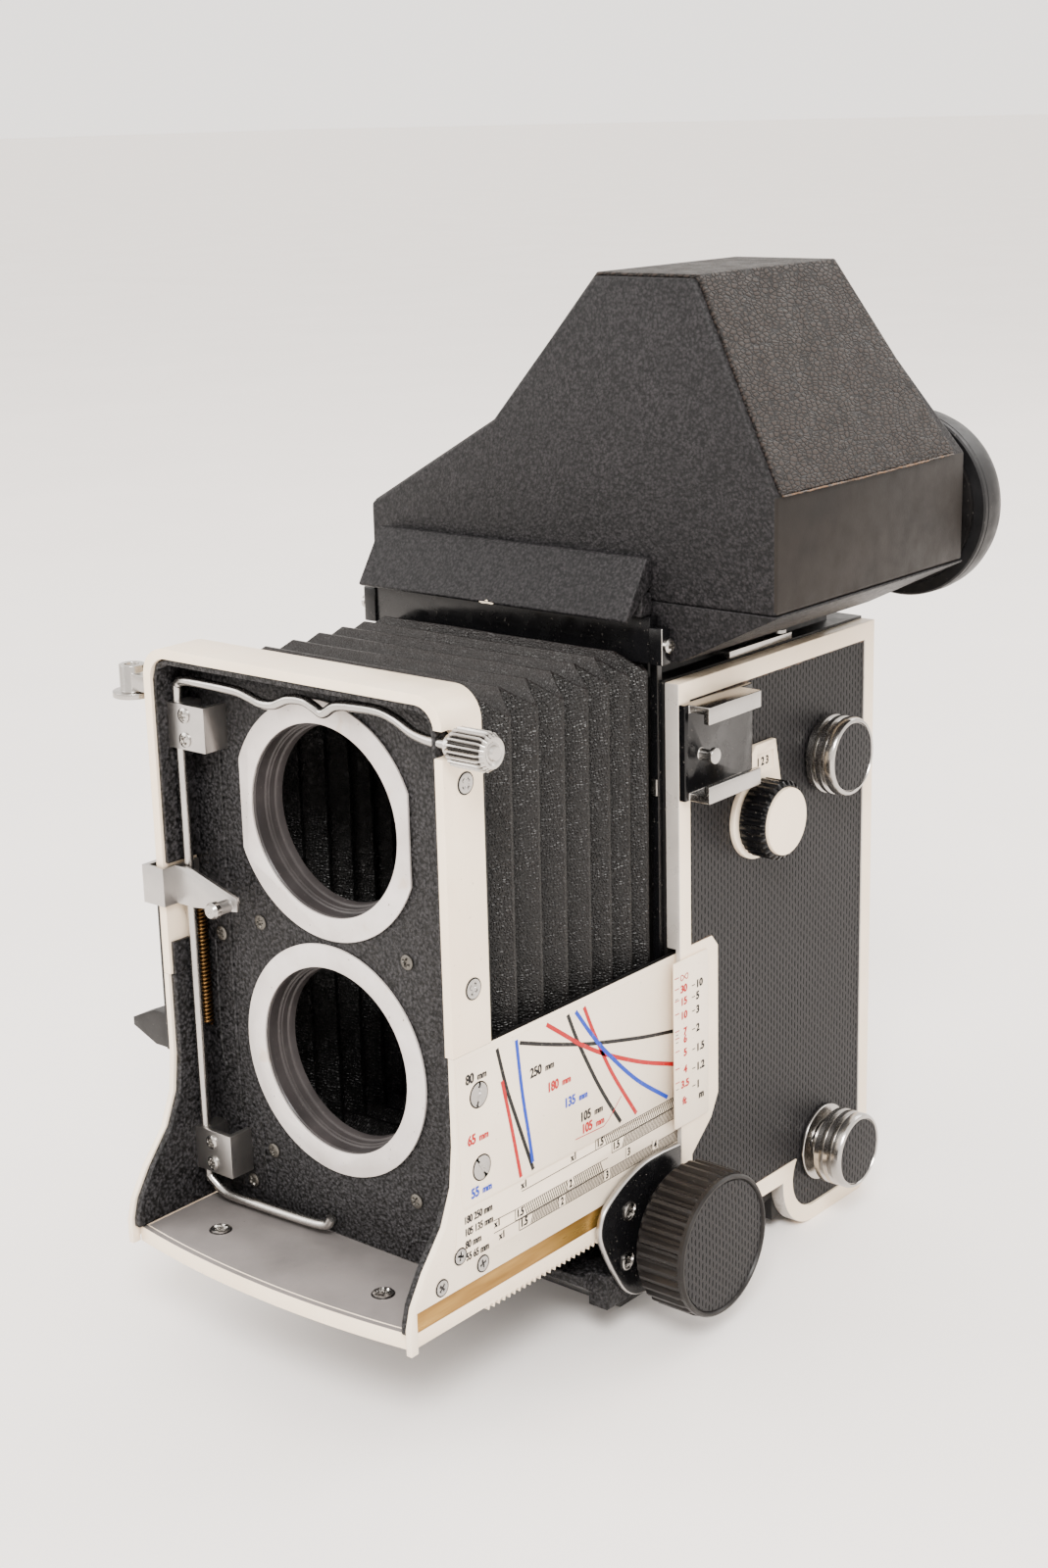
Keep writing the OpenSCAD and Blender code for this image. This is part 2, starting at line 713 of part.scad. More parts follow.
module spool_upper() {
    color("#1d1d1d") difference() {
        spool(spool_top_z);
        // slot for the winding key
        block([-32, spool_y - 5, spool_top_z - 0.8], [-26, spool_y + 5, spool_top_z + 0.8]);
    }
}

module spool_lower() {
    color("#1d1d1d") spool(spool_low_z);
}

module advance_crank() {
    color("#cfccc4") mirror([1, 0, 0]) {
        rod_x_dir(31, 41.3, spool_y, spool_top_z, 2.4);
        difference() {
            rod_x_dir(41.2, 44.2, spool_y, spool_top_z, 13);
            // pocket for the folded grip's stub
            rod_x_dir(41.7, 44.3, spool_y, spool_top_z - 6, 3);
        }
        difference() {
            rod_x_dir(44.2, 46.2, spool_y, spool_top_z, 11);
            block([44.1, spool_y - 3.4, spool_top_z - 12], [47, spool_y + 3.4, spool_top_z + 12]);
        }
        // hinge pin of the folding grip
        rod_y_dir(spool_y - 4, spool_y + 4, 45.6, spool_top_z + 8.9, 0.55);
    }
    // key that turns the spool
    color("#8f8f8c") block([-31, spool_y - 4.4, spool_top_z - 0.6], [-27, spool_y + 4.4, spool_top_z + 0.6]);
}

module crank_grip() {
    color("#d2cfc8") mirror([1, 0, 0]) difference() {
        union() {
            block([44.5, spool_y - 3, spool_top_z - 9.5], [46, spool_y + 3, spool_top_z + 8.9]);
            rod_y_dir(spool_y - 3, spool_y + 3, 45.6, spool_top_z + 8.9, 1.2);
            rod_x_dir(41.9, 44.6, spool_y, spool_top_z - 6, 2.6);
        }
        rod_y_dir(spool_y - 4, spool_y + 4, 45.6, spool_top_z + 8.9, 0.55 + fit);
    }
}

// ---- rear door ----

module rear_door() {
    color("#202124") difference() {
        union() {
            block([-37.2, chamber_rear + gap, door_axis_z], [37.2, 38.2, 134.6]);
            rod_x_dir(-37.2, 37.2, door_axis_y, door_axis_z, 2);
            rod_x_dir(-39.1, 39.1, door_axis_y, door_axis_z, 1.4);
        }
        // seat of the pressure plate
        block([-30, chamber_rear, 37], [30, 35, 99]);
        // groove of the latch
        block([-10, 34.6, 132.4], [10, 37, 136]);
        block([-7.4, 36, 132.4], [7.4, 40, 136]);
    }
}

module door_latch() {
    color("#c9c8c4") {
        block([-6, 34.7, 132.6], [6, 36.9, 134.6]);
        block([-3, 36.9, 132.6], [3, 39.6, 134.4]);
    }
}

module pressure_plate() {
    color("#2c2c2e") {
        block([-29.5, 28.8, 37.6], [29.5, 31, 97.8]);
        block([-8, 30.9, 60], [8, 34.2, 76]);
    }
}

// ---- finder ----

// front view of the finder's housing (X, Z)
housing_outline = [[-40.3, finder_seam], [64.8, finder_seam], [64.8, 177], [45.8, finder_top],
    [21.9, finder_top], [-5.3, 187.3], [-40.3, 167.6]];

// side view of the housing: the rear slopes in above the band (Y, Z)
module housing_side(inset) {
    polygon([[finder_front + inset, 140], [finder_rear - inset, 140], [finder_rear - inset, 177],
        [10 - inset, finder_top - inset / 2], [10 - inset, 230], [finder_front + inset, 230]]);
}

module housing_inner() {
    polygon([[-38.3, finder_seam - 1], [62.8, finder_seam - 1], [62.8, 176.5],
        [44.5, finder_top - 2], [22.8, finder_top - 2], [-4.2, 185.6], [-38.3, 166.4]]);
}

module finder_housing() {
    color("#222224") difference() {
        intersection() {
            along_y(finder_front, 40) polygon(housing_outline);
            along_x(-50, 80) housing_side(0);
        }
        along_y(finder_front + housing_wall, 40) housing_inner();
    }
}

// rear wall with the sloping bevel and the eyepiece boss
module finder_back() {
    color("#19191b") difference() {
        union() {
            intersection() {
                along_y(-20, 40) offset(delta = -0.15) housing_inner();
                along_x(-50, 80) polygon([[finder_rear - 2.5, finder_seam], [finder_rear, finder_seam],
                    [finder_rear, 177], [10, finder_top], [7, finder_top], [finder_rear - 2.5, 176]]);
            }
            rod_y_dir(finder_rear, 36.5, eye_x, eye_z, 14.8);
        }
        rod_y_dir(0, 50, eye_x, eye_z, 13);
    }
}

module finder_base() {
    color("#1f1f21") difference() {
        along_y(finder_front, finder_rear) polygon([[-40.3, neck_top + 0.2], [41.7, neck_top + 0.2],
            [64.8, finder_seam - 0.4], [64.8, finder_seam], [-40.3, finder_seam]]);
        block([-30, -33, neck_top - 1], [30, 27, finder_seam + 1]);
        block([28, -30, 151.5], [60, 27, finder_seam + 1]);
    }
}

// leather on the housing's top and slopes
module finder_leather() {
    color("#3a312c") intersection() {
        along_y(finder_front + 1, 40) difference() {
            polygon([[64.8 + leather_t, 177.4], [45.8 + leather_t, finder_top + leather_t],
                [21.9 - leather_t / 2, finder_top + leather_t], [-5.3, 187.3 + leather_t],
                [-40.3, 167.6 + leather_t], [-40.3, 167], [-5, 186], [22, 216], [45, 216], [64, 177]]);
            polygon(housing_outline);
        }
        along_x(-50, 80) polygon([[finder_front, 160], [29, 160], [29, 177], [6, 230], [finder_front, 230]]);
    }
}

module eyepiece_tube() {
    color("#161617") difference() {
        rod_y_dir(36.5, 42, eye_x, eye_z, 17.5);
        rod_y_dir(36, 43, eye_x, eye_z, 13.6);
    }
}

module eyepiece_lens() {
    color("#a9c0cc") rod_y_dir(37.5, 40.5, eye_x, eye_z, 13.6);
}

module eyecup() {
    color("#141414") translate([eye_x, 0, eye_z]) rotate([-90, 0, 0]) rotate_extrude()
        polygon([[17.55, 37.5], [20.2, 37.5], [20.4, 41], [19.6, 46], [15.5, 47.5], [14.6, 46.5],
            [17.55, 42.5]]);
}

// the three mirrors that turn the picture upright
module finder_mirrors() {
    color("#aab4bc") {
        along_y(-34, 26) polygon([[-35.5, 157.4], [-34, 156.2], [-8, 180.6], [-9.5, 181.8]]);
        along_y(-34, 4) polygon([[46.6, 208], [45.4, 207.2], [58.6, 178.4], [59.8, 179]]);
        along_x(34, 60) polygon([[-34, 157.5], [-32.8, 156.2], [-8, 176], [-9.2, 177.2]]);
    }
}

module finder_latch() {
    color("#cfcfcd") block([34.2, -15.5, 138.4], [38.6, 7.6, 139.8]);
    color("#cfcfcd") translate([36.4, 6, 138.1]) cylinder(r = 1.6, h = 2.4);
}

body_shell();
side_cover_right();
side_cover_left();
side_leathers();
base_block();
focus_brackets();
body_screws();
scale_plate();
accessory_shoe();
dial_plates();
front_strip();
nameplate();
hook_brackets();
viewing_mirror();
focusing_screen();
chamber_divider();
film_gate();
film_rollers();
tripod_plate();
bellows();
standard_frame();
standard_panel();
lens_ring_upper();
lens_ring_lower();
lens_tubes();
standard_screws();
rod_clamps();
cable_socket();
front_tray();
chart_plate_right();
chart_plate_left();
guide_strips();
focus_racks();
carriage();
bail_wire();
bail_knob();
release_slider();
release_spring();
focus_shaft();
focus_knob_right();
focus_knob_left();
lock_dial();
film_knob_upper();
film_knob_lower();
spool_upper();
spool_lower();
advance_crank();
crank_grip();
rear_door();
door_latch();
pressure_plate();
finder_base();
finder_housing();
finder_leather();
finder_back();
eyepiece_tube();
eyecup();
eyepiece_lens();
finder_mirrors();
finder_latch();
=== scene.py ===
import json
import math

import bmesh
import bpy
from mathutils import Matrix, Vector, noise

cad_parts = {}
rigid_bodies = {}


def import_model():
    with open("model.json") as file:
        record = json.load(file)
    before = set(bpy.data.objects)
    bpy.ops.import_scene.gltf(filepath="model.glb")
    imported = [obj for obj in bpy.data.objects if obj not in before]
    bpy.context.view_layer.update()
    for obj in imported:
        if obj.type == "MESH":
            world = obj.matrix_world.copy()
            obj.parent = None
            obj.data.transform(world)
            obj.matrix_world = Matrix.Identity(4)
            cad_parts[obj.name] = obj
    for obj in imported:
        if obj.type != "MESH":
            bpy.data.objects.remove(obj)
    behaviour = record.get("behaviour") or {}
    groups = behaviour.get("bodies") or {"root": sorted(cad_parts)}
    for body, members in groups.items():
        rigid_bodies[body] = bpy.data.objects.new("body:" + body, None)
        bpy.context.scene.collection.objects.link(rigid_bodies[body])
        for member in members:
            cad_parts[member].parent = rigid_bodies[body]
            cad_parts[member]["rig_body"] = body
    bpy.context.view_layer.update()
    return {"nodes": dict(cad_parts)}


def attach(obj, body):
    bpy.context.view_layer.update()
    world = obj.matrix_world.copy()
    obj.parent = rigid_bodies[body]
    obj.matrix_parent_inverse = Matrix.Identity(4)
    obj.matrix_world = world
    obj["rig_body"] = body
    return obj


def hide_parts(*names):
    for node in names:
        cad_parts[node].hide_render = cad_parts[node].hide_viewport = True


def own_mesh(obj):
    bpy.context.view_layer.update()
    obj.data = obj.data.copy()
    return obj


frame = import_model()

MM = 0.001
X_AXIS, Y_AXIS, Z_AXIS = Vector((1, 0, 0)), Vector((0, 1, 0)), Vector((0, 0, 1))

# ---- camera, lights and floor ----

CAMERA_AT = Vector((0.31156, -0.40901, 0.24888))
CAMERA_AZIMUTH, CAMERA_ELEVATION, CAMERA_ROLL = 39.93, 15.95, -1.48
FOCAL_MM = 54.23


def make_camera():
    camera = bpy.data.objects.new("camera", bpy.data.cameras.new("camera"))
    bpy.context.collection.objects.link(camera)
    camera.data.lens = FOCAL_MM
    camera.data.sensor_width = 36
    camera.data.clip_start = 0.01
    azimuth, elevation = math.radians(CAMERA_AZIMUTH), math.radians(CAMERA_ELEVATION)
    look = Vector((-math.sin(azimuth) * math.cos(elevation),
                   math.cos(azimuth) * math.cos(elevation), -math.sin(elevation)))
    turn = look.to_track_quat("-Z", "Y").to_matrix().to_4x4()
    roll = Matrix.Rotation(math.radians(CAMERA_ROLL), 4, "Z")
    camera.matrix_world = Matrix.Translation(CAMERA_AT) @ turn @ roll
    bpy.context.scene.camera = camera


def area_light(name, at, aim, size, power, color):
    light = bpy.data.lights.new(name, "AREA")
    light.shape = "RECTANGLE"
    light.size, light.size_y = size
    light.energy = power
    light.color = color
    lamp = bpy.data.objects.new(name, light)
    bpy.context.collection.objects.link(lamp)
    lamp.location = at
    lamp.rotation_euler = (Vector(aim) - Vector(at)).to_track_quat("-Z", "Y").to_euler()


def srgb(red, green, blue):
    """Linear colour from the 0 to 255 values of a colour chart."""
    def linear(c):
        c /= 255
        return c / 12.92 if c <= 0.04045 else ((c + 0.055) / 1.055) ** 2.4
    return (linear(red), linear(green), linear(blue), 1.0)


def scaled(tint, share):
    """The chart colour made darker or lighter by a share."""
    return [c * share for c in srgb(*tint)[:3]] + [1.0]


# ---- materials ----

class Finish:
    """Builds one procedural material, working in the object's own millimetres."""

    def __init__(self, name, rough=0.5, metal=0.0, coat=0.0, specular=0.5):
        self.mat = bpy.data.materials.new(name)
        self.mat.use_nodes = True
        self.tree = self.mat.node_tree
        self.shader = self.tree.nodes["Principled BSDF"]
        self.shader.inputs["Metallic"].default_value = metal
        self.shader.inputs["Roughness"].default_value = rough
        self.shader.inputs["Coat Weight"].default_value = coat
        self.shader.inputs["Specular IOR Level"].default_value = specular
        self.place = self.node("TexCoord").outputs["Object"]

    def node(self, kind):
        return self.tree.nodes.new("ShaderNode" + kind)

    def plug(self, socket, value):
        if isinstance(value, bpy.types.NodeSocket):
            self.tree.links.new(value, socket)
        else:
            socket.default_value = value

    def calc(self, operation, a, b=0.0):
        node = self.node("Math")
        node.operation = operation
        self.plug(node.inputs[0], a)
        self.plug(node.inputs[1], b)
        return node.outputs[0]

    def plus(self, a, b):
        return self.calc("ADD", a, b)

    def minus(self, a, b):
        return self.calc("SUBTRACT", a, b)

    def times(self, a, b):
        return self.calc("MULTIPLY", a, b)

    def remap(self, value, low, high, out_low=0.0, out_high=1.0, smooth=False):
        node = self.node("MapRange")
        node.interpolation_type = "SMOOTHSTEP" if smooth else "LINEAR"
        for socket, v in zip(node.inputs, (value, low, high, out_low, out_high)):
            self.plug(socket, v)
        return node.outputs[0]

    def coords(self, per_mm, stretch=(1, 1, 1), turn=(0, 0, 0)):
        first = self.node("Mapping")
        self.plug(first.inputs["Vector"], self.place)
        first.inputs["Rotation"].default_value = [math.radians(a) for a in turn]
        node = self.node("Mapping")
        self.plug(node.inputs["Vector"], first.outputs[0])
        node.inputs["Scale"].default_value = [per_mm / MM * s for s in stretch]
        return node.outputs[0]

    def noise(self, per_mm, detail=3.0, rough=0.55, stretch=(1, 1, 1), turn=(0, 0, 0)):
        node = self.node("TexNoise")
        self.plug(node.inputs["Vector"], self.coords(per_mm, stretch, turn))
        node.inputs["Scale"].default_value = 1.0
        node.inputs["Detail"].default_value = detail
        node.inputs["Roughness"].default_value = rough
        return node.outputs["Fac"]

    def patches(self, per_mm, detail, low=0.0, high=1.0, start=0.3):
        """Soft patches of noise between two values."""
        return self.remap(self.noise(per_mm, detail), start, 0.7, low, high)

    def cells(self, per_mm, feature="F1", stretch=(1, 1, 1), turn=(0, 0, 0)):
        node = self.node("TexVoronoi")
        node.feature = feature
        self.plug(node.inputs["Vector"], self.coords(per_mm, stretch, turn))
        node.inputs["Scale"].default_value = 1.0
        return node.outputs["Distance"]

    def axes(self):
        node = self.node("SeparateXYZ")
        self.plug(node.inputs[0], self.place)
        return [self.times(out, 1 / MM) for out in node.outputs]

    def facing(self, axis):
        node = self.node("SeparateXYZ")
        geometry = self.node("NewGeometry")
        self.plug(node.inputs[0], geometry.outputs["Normal"])
        return node.outputs[axis]

    def mix(self, share, a, b):
        node = self.node("Mix")
        node.data_type = "RGBA"
        self.plug(node.inputs[0], share)
        self.plug(node.inputs[6], a)
        self.plug(node.inputs[7], b)
        return node.outputs[2]

    def relief(self, height, depth_mm, strength=1.0):
        node = self.node("Bump")
        node.inputs["Strength"].default_value = strength
        node.inputs["Distance"].default_value = depth_mm * MM
        self.plug(node.inputs["Height"], height)
        if self.shader.inputs["Normal"].is_linked:
            self.plug(node.inputs["Normal"], self.shader.inputs["Normal"].links[0].from_socket)
        self.plug(self.shader.inputs["Normal"], node.outputs[0])

    def color(self, value):
        self.plug(self.shader.inputs["Base Color"], value)

    def gloss(self, value):
        self.plug(self.shader.inputs["Roughness"], value)


def speckled(f, base, speck, per_mm, share):
    """Base colour with small specks of another colour on a share of the surface."""
    dots = f.remap(f.noise(per_mm, 1.0), share, share + 0.04)
    return f.mix(dots, base, speck)


def painted(name, tint, shade, rough, metal=0.0, grain=0.012, specular=0.5):
    """Satin lacquer or anodised metal: soft mottling, faint dust specks and orange peel."""
    f = Finish(name, metal=metal, specular=specular)
    base = f.mix(f.patches(0.06, 4.0, start=0.35), srgb(*tint), srgb(*shade))
    wear_and_ridge_light = scaled(shade, 0.55)
    f.color(f.mix(f.times(f.remap(f.noise(1.1, 2.0), 0.7, 0.78), 0.5), base, wear_and_ridge_light))
    f.gloss(f.patches(0.25, 3.0, rough - 0.06, rough + 0.08))
    f.relief(f.noise(2.6, 2.0), grain)
    return f.mat


def crackle(name, dark, light, per_mm, depth, rough):
    """Wrinkle lacquer: fine irregular bumps that catch light on their tops."""
    f = Finish(name, specular=0.16)
    bumps = f.noise(per_mm, 3.0, 0.6)
    grains = f.cells(per_mm * 0.9)
    height = f.minus(bumps, f.times(grains, 0.5))
    tops = f.remap(height, 0.12, 0.5)
    cloud = f.patches(0.08, 3.0, 0.75, 1.0, start=0.35)
    f.color(f.mix(f.times(tops, cloud), srgb(*dark), srgb(*light)))
    f.gloss(f.patches(per_mm * 0.6, 2.0, rough - 0.1, rough + 0.12))
    f.relief(height, depth)
    return f.mat


def leatherette(name, across, light, dark):
    """Pressed leatherette: staggered rows of short dark dashes between raised cells.

    across is the object axis that runs along the rows; the other one is Z."""
    f = Finish(name, specular=0.12)
    pitch_u, pitch_v, dash_u, dash_v = 1.18, 2.1, 0.2, 0.36
    axes = f.axes()
    wander = f.times(f.minus(f.noise(0.45, 2.0), 0.5), 0.5)
    u = f.calc("DIVIDE", f.plus(axes[across], wander), pitch_u)
    v = f.calc("DIVIDE", f.plus(axes[2], f.times(wander, 0.8)), pitch_v)
    column = f.calc("FLOOR", u)
    stagger = f.times(f.calc("FLOORED_MODULO", column, 2.0), 0.5)
    row = f.plus(v, stagger)
    du = f.calc("ABSOLUTE", f.minus(f.calc("FRACT", u), 0.5))
    dv = f.calc("ABSOLUTE", f.minus(f.calc("FRACT", row), 0.5))
    far_u = f.calc("DIVIDE", du, dash_u)
    far_v = f.calc("DIVIDE", dv, dash_v)
    square = f.plus(f.calc("POWER", far_u, 2.0), f.calc("POWER", far_v, 4.0))
    dash = f.remap(square, 0.55, 1.5, 1.0, 0.0, smooth=True)
    cloud = f.patches(0.05, 4.0)
    fine = f.patches(3.2, 2.0)
    shade = scaled(light, 0.8)
    base = f.mix(f.times(f.plus(cloud, fine), 0.5), srgb(*light), shade)
    f.color(f.mix(dash, base, srgb(*dark)))
    f.gloss(f.remap(dash, 0.0, 1.0, 0.46, 0.62))
    f.relief(f.plus(f.times(dash, -1.0), f.times(fine, 0.18)), 0.11)
    return f.mat


def pebbled(name, dark, light, per_mm, stretch, turn, depth, rough):
    """Soft leather with stretched pebbles."""
    f = Finish(name, specular=0.22)
    cell = f.cells(per_mm, "F1", stretch, turn)
    crease = f.remap(f.cells(per_mm, "DISTANCE_TO_EDGE", stretch, turn), 0.0, 0.22)
    height = f.minus(crease, f.times(cell, 0.35))
    fine = f.noise(per_mm * 3, 2.0)
    f.color(f.mix(f.remap(height, 0.0, 0.85), srgb(*dark), srgb(*light)))
    f.gloss(f.patches(0.2, 3.0, rough - 0.08, rough + 0.1))
    f.relief(f.plus(height, f.times(fine, 0.3)), depth)
    return f.mat


def bellows_leather(name):
    """Pleated leather with painted shade in the valleys and a painted highlight on the ridges, brownish
    where it looks up.
    """
    f = Finish(name, specular=0.26)
    x, _, z = f.axes()
    valley_x, tip_x, valley_z, tip_z = 31.6, 36.6, 139.8, 144.7
    out = f.calc("MAXIMUM", f.remap(f.calc("ABSOLUTE", x), valley_x, tip_x),
                 f.remap(z, valley_z, tip_z))
    ridge = f.calc("POWER", out, 1.6)
    grain = f.remap(f.cells(1.7, "DISTANCE_TO_EDGE"), 0.0, 0.3)
    # painted highlight on the ridges and painted shade in the valleys, made patchy with noise
    wear_and_ridge_light = f.times(ridge, f.remap(f.noise(0.5, 3.0), 0.25, 0.75, 0.5, 1.0))
    base = f.mix(wear_and_ridge_light, srgb(6, 6, 6), srgb(25, 22, 21))
    up = f.remap(f.facing(2), 0.3, 0.9)
    top = f.mix(wear_and_ridge_light, srgb(3, 2, 2), srgb(26, 21, 20))
    f.color(f.mix(up, f.mix(grain, srgb(4, 4, 4), base), top))
    f.gloss(f.patches(0.2, 3.0, 0.3, 0.48))
    f.relief(f.plus(grain, f.times(f.noise(1.0, 2.0), 0.8)), 0.1)
    return f.mat


def polished(name, tint, rough, brushed=None, mark=0.006):
    """Bare or plated metal with smudges and fine scratches, brushed along an axis if named."""
    f = Finish(name, metal=1.0)
    stretch = [0.04 if brushed == axis else 1 for axis in range(3)]
    scratch = f.noise(6.0, 2.0, 0.6, stretch)
    smudge = f.patches(0.12, 4.0)
    dull = scaled(tint, 0.72)
    f.color(f.mix(f.times(smudge, 0.6), srgb(*tint), dull))
    f.gloss(f.plus(f.remap(scratch, 0.3, 0.7, rough - 0.05, rough + 0.08),
                   f.times(smudge, 0.07)))
    f.relief(scratch, mark)
    return f.mat


def knurled(name, axis_at, low, high):
    """Chrome with painted shade in its grooves, nearer the turning axis."""
    f = Finish(name, metal=1.0)
    x, y, z = f.axes()
    dy = f.calc("POWER", f.calc("ABSOLUTE", f.minus(y, axis_at[0])), 2.0)
    dz = f.calc("POWER", f.calc("ABSOLUTE", f.minus(z, axis_at[1])), 2.0)
    ridge = f.remap(f.calc("SQRT", f.plus(dy, dz)), low, high)
    ends = f.calc("MAXIMUM", f.remap(x, 49.2, 49.5), f.remap(x, 41.8, 41.5))
    # painted shade in the grooves; the ridges and the plain ends keep the chrome's colour
    f.color(f.mix(f.calc("MAXIMUM", ridge, ends), srgb(42, 40, 38), srgb(182, 178, 173)))
    f.gloss(f.patches(0.6, 3.0, 0.2, 0.34))
    f.relief(f.noise(3.0, 2.0), 0.01)
    return f.mat


def satin_ring(name):
    """Matt aluminium of the lens rings: bright, with dark pits and faint stains."""
    f = Finish(name, metal=0.35)
    base = f.mix(f.patches(0.08, 4.0, start=0.35), srgb(212, 205, 201), srgb(188, 180, 175))
    stain = f.times(f.remap(f.noise(0.22, 2.0), 0.66, 0.76), 0.35)
    base = f.mix(stain, base, srgb(176, 150, 118))
    f.color(speckled(f, base, srgb(96, 88, 80), 1.3, 0.76))
    f.gloss(f.patches(0.5, 3.0, 0.42, 0.56))
    f.relief(f.noise(5.0, 2.0), 0.012)
    return f.mat


def aged_brass(name):
    """The yellowed bright strip: lacquer that has gone golden, darker along its edges."""
    f = Finish(name, metal=0.75)
    height, middle = f.axes()[2], 30.9
    edge = f.remap(f.calc("ABSOLUTE", f.minus(height, middle)), 1.2, 2.1)
    streak = f.remap(f.noise(0.35, 3.0, 0.6, (1, 0.12, 1)), 0.3, 0.7)
    base = f.mix(streak, srgb(164, 128, 62), srgb(128, 92, 34))
    f.color(f.mix(f.times(edge, 0.7), base, srgb(120, 82, 30)))
    f.gloss(f.remap(streak, 0.0, 1.0, 0.24, 0.4))
    f.relief(f.noise(2.0, 2.0, 0.5, (1, 0.1, 1)), 0.01)
    return f.mat


def glossy_black(name, rough, tint, dust=0.35, specular=0.2):
    """Black plastic, rubber or lacquer with a little dust."""
    f = Finish(name, specular=specular)
    base = f.mix(f.patches(0.1, 4.0, start=0.35), srgb(*tint), scaled(tint, 1.7))
    specks = f.times(f.remap(f.noise(1.6, 1.0), 0.72, 0.76), dust)
    f.color(f.mix(specks, base, srgb(120, 116, 110)))
    f.gloss(f.patches(0.3, 4.0, rough - 0.05, rough + 0.12))
    f.relief(f.noise(2.2, 2.0), 0.008)
    return f.mat


def glassy(name, tint, rough, metal):
    """Coated glass or a silvered mirror, with faint smears."""
    f = Finish(name, rough, metal, coat=0.6)
    f.color(f.mix(f.patches(0.07, 3.0), srgb(*tint), scaled(tint, 0.8)))
    f.gloss(f.remap(f.noise(0.3, 3.0), 0.35, 0.75, rough, rough + 0.08))
    return f.mat


def ink(name, tint):
    """Screen-printed ink, a little thin in places."""
    f = Finish(name, 0.5, specular=0.2)
    thin = f.remap(f.noise(1.4, 2.0), 0.6, 0.85, 0.0, 0.2)
    f.color(f.mix(thin, srgb(*tint), srgb(200, 194, 184)))
    f.gloss(f.patches(0.9, 2.0, 0.42, 0.56))
    return f.mat


def glue(name):
    """Dried golden-brown glue that has crept out from under the leather."""
    f = Finish(name, specular=0.5)
    f.color(f.mix(f.remap(f.noise(0.5, 3.0), 0.35, 0.65), srgb(92, 60, 24), srgb(34, 23, 11)))
    f.gloss(f.patches(0.8, 2.0, 0.35, 0.6))
    f.relief(f.noise(2.0, 2.0), 0.06)
    return f.mat


M = {
    "cream": painted("cream_paint", (239, 221, 196), (231, 211, 184), 0.34, 0.1),
    "edge": painted("edge_metal", (190, 184, 177), (170, 164, 157), 0.3, 0.35),
    "print": painted("printed_plate", (234, 219, 198), (226, 210, 188), 0.38, 0.15, 0.006),
    "grey": painted("tray_grey", (142, 136, 134), (126, 121, 119), 0.42, 0.5),
    "ring": satin_ring("ring_aluminium"),
    "chrome": polished("chrome", (172, 169, 165), 0.17),
    "knurl": knurled("knurled_chrome", (-104.8, 140.0), 3.15, 3.6),
    "bright": polished("satin_chrome", (176, 173, 170), 0.3, brushed=2),
    "steel": polished("dull_steel", (98, 95, 90), 0.36),
    "brass": aged_brass("brass_strip"),
    "spring": polished("bronze_spring", (88, 64, 36), 0.3),
    "panel": crackle("black_crackle", (5, 5, 5), (52, 51, 53), 1.5, 0.28, 0.42),
    "front": crackle("finder_crackle", (13, 13, 14), (40, 38, 40), 1.7, 0.18, 0.52),
    "satin": glossy_black("black_satin", 0.42, (11, 10, 10)),
    "gloss": glossy_black("black_gloss", 0.2, (7, 7, 8), 0.25, 0.24),
    "barrel": glossy_black("barrel_black", 0.34, (44, 41, 41), 0.2),
    "band": painted("finder_band", (30, 26, 23), (23, 20, 18), 0.5, 0.0, 0.02, 0.14),
    "plastic": glossy_black("knob_plastic", 0.38, (17, 15, 14), 0.12),
    "rubber": glossy_black("eyecup_rubber", 0.42, (12, 12, 13), 0.2),
    "leather_side": leatherette("body_leather", 1, (36, 35, 36), (6, 6, 7)),
    "leather_door": leatherette("door_leather", 0, (36, 35, 36), (6, 6, 7)),
    "leather_finder": pebbled("finder_leather", (9, 7, 6), (39, 32, 28), 0.7, (0.55, 1, 1.7),
                              (0, 28, 35), 0.16, 0.56),
    "bellows": bellows_leather("bellows_leather"),
    "glass": glassy("lens_glass", (60, 78, 92), 0.03, 0.0),
    "mirror": glassy("silver_mirror", (200, 208, 214), 0.02, 1.0),
    "screen": glassy("screen_glass", (190, 200, 200), 0.25, 0.0),
    "glue": glue("dried_glue"),
    "ink_black": ink("ink_black", (10, 9, 9)),
    "ink_red": ink("ink_red", (158, 16, 22)),
    "ink_blue": ink("ink_blue", (14, 50, 158)),
}

# ---- mesh helpers ----


def bridge(bm, first, second, flip=False):
    """Joins two closed rings of as many points with quads."""
    for a, b, c, d in zip(first, first[1:] + first[:1], second[1:] + second[:1], second):
        bm.faces.new((a, d, c, b) if flip else (a, b, c, d))


def around(at, side, other, radius, steps):
    """Points of a circle, with the angle starting at side and turning towards other."""
    turns = [2 * math.pi * k / steps for k in range(steps)]
    return [Vector(at) + side * radius * math.cos(a) + other * radius * math.sin(a) for a in turns]


def new_object(name, bm, mats, sharp=32):
    """Makes an object of a bmesh, smooth except where faces meet at more than sharp degrees."""
    mesh = bpy.data.meshes.new(name)
    bmesh.ops.recalc_face_normals(bm, faces=bm.faces)
    bm.to_mesh(mesh)
    bm.free()
    for mat in mats if isinstance(mats, (list, tuple)) else [mats]:
        mesh.materials.append(mat)
    obj = bpy.data.objects.new(name, mesh)
    bpy.context.collection.objects.link(obj)
    mesh.shade_smooth()
    mesh.set_sharp_from_angle(angle=math.radians(sharp))
    return obj


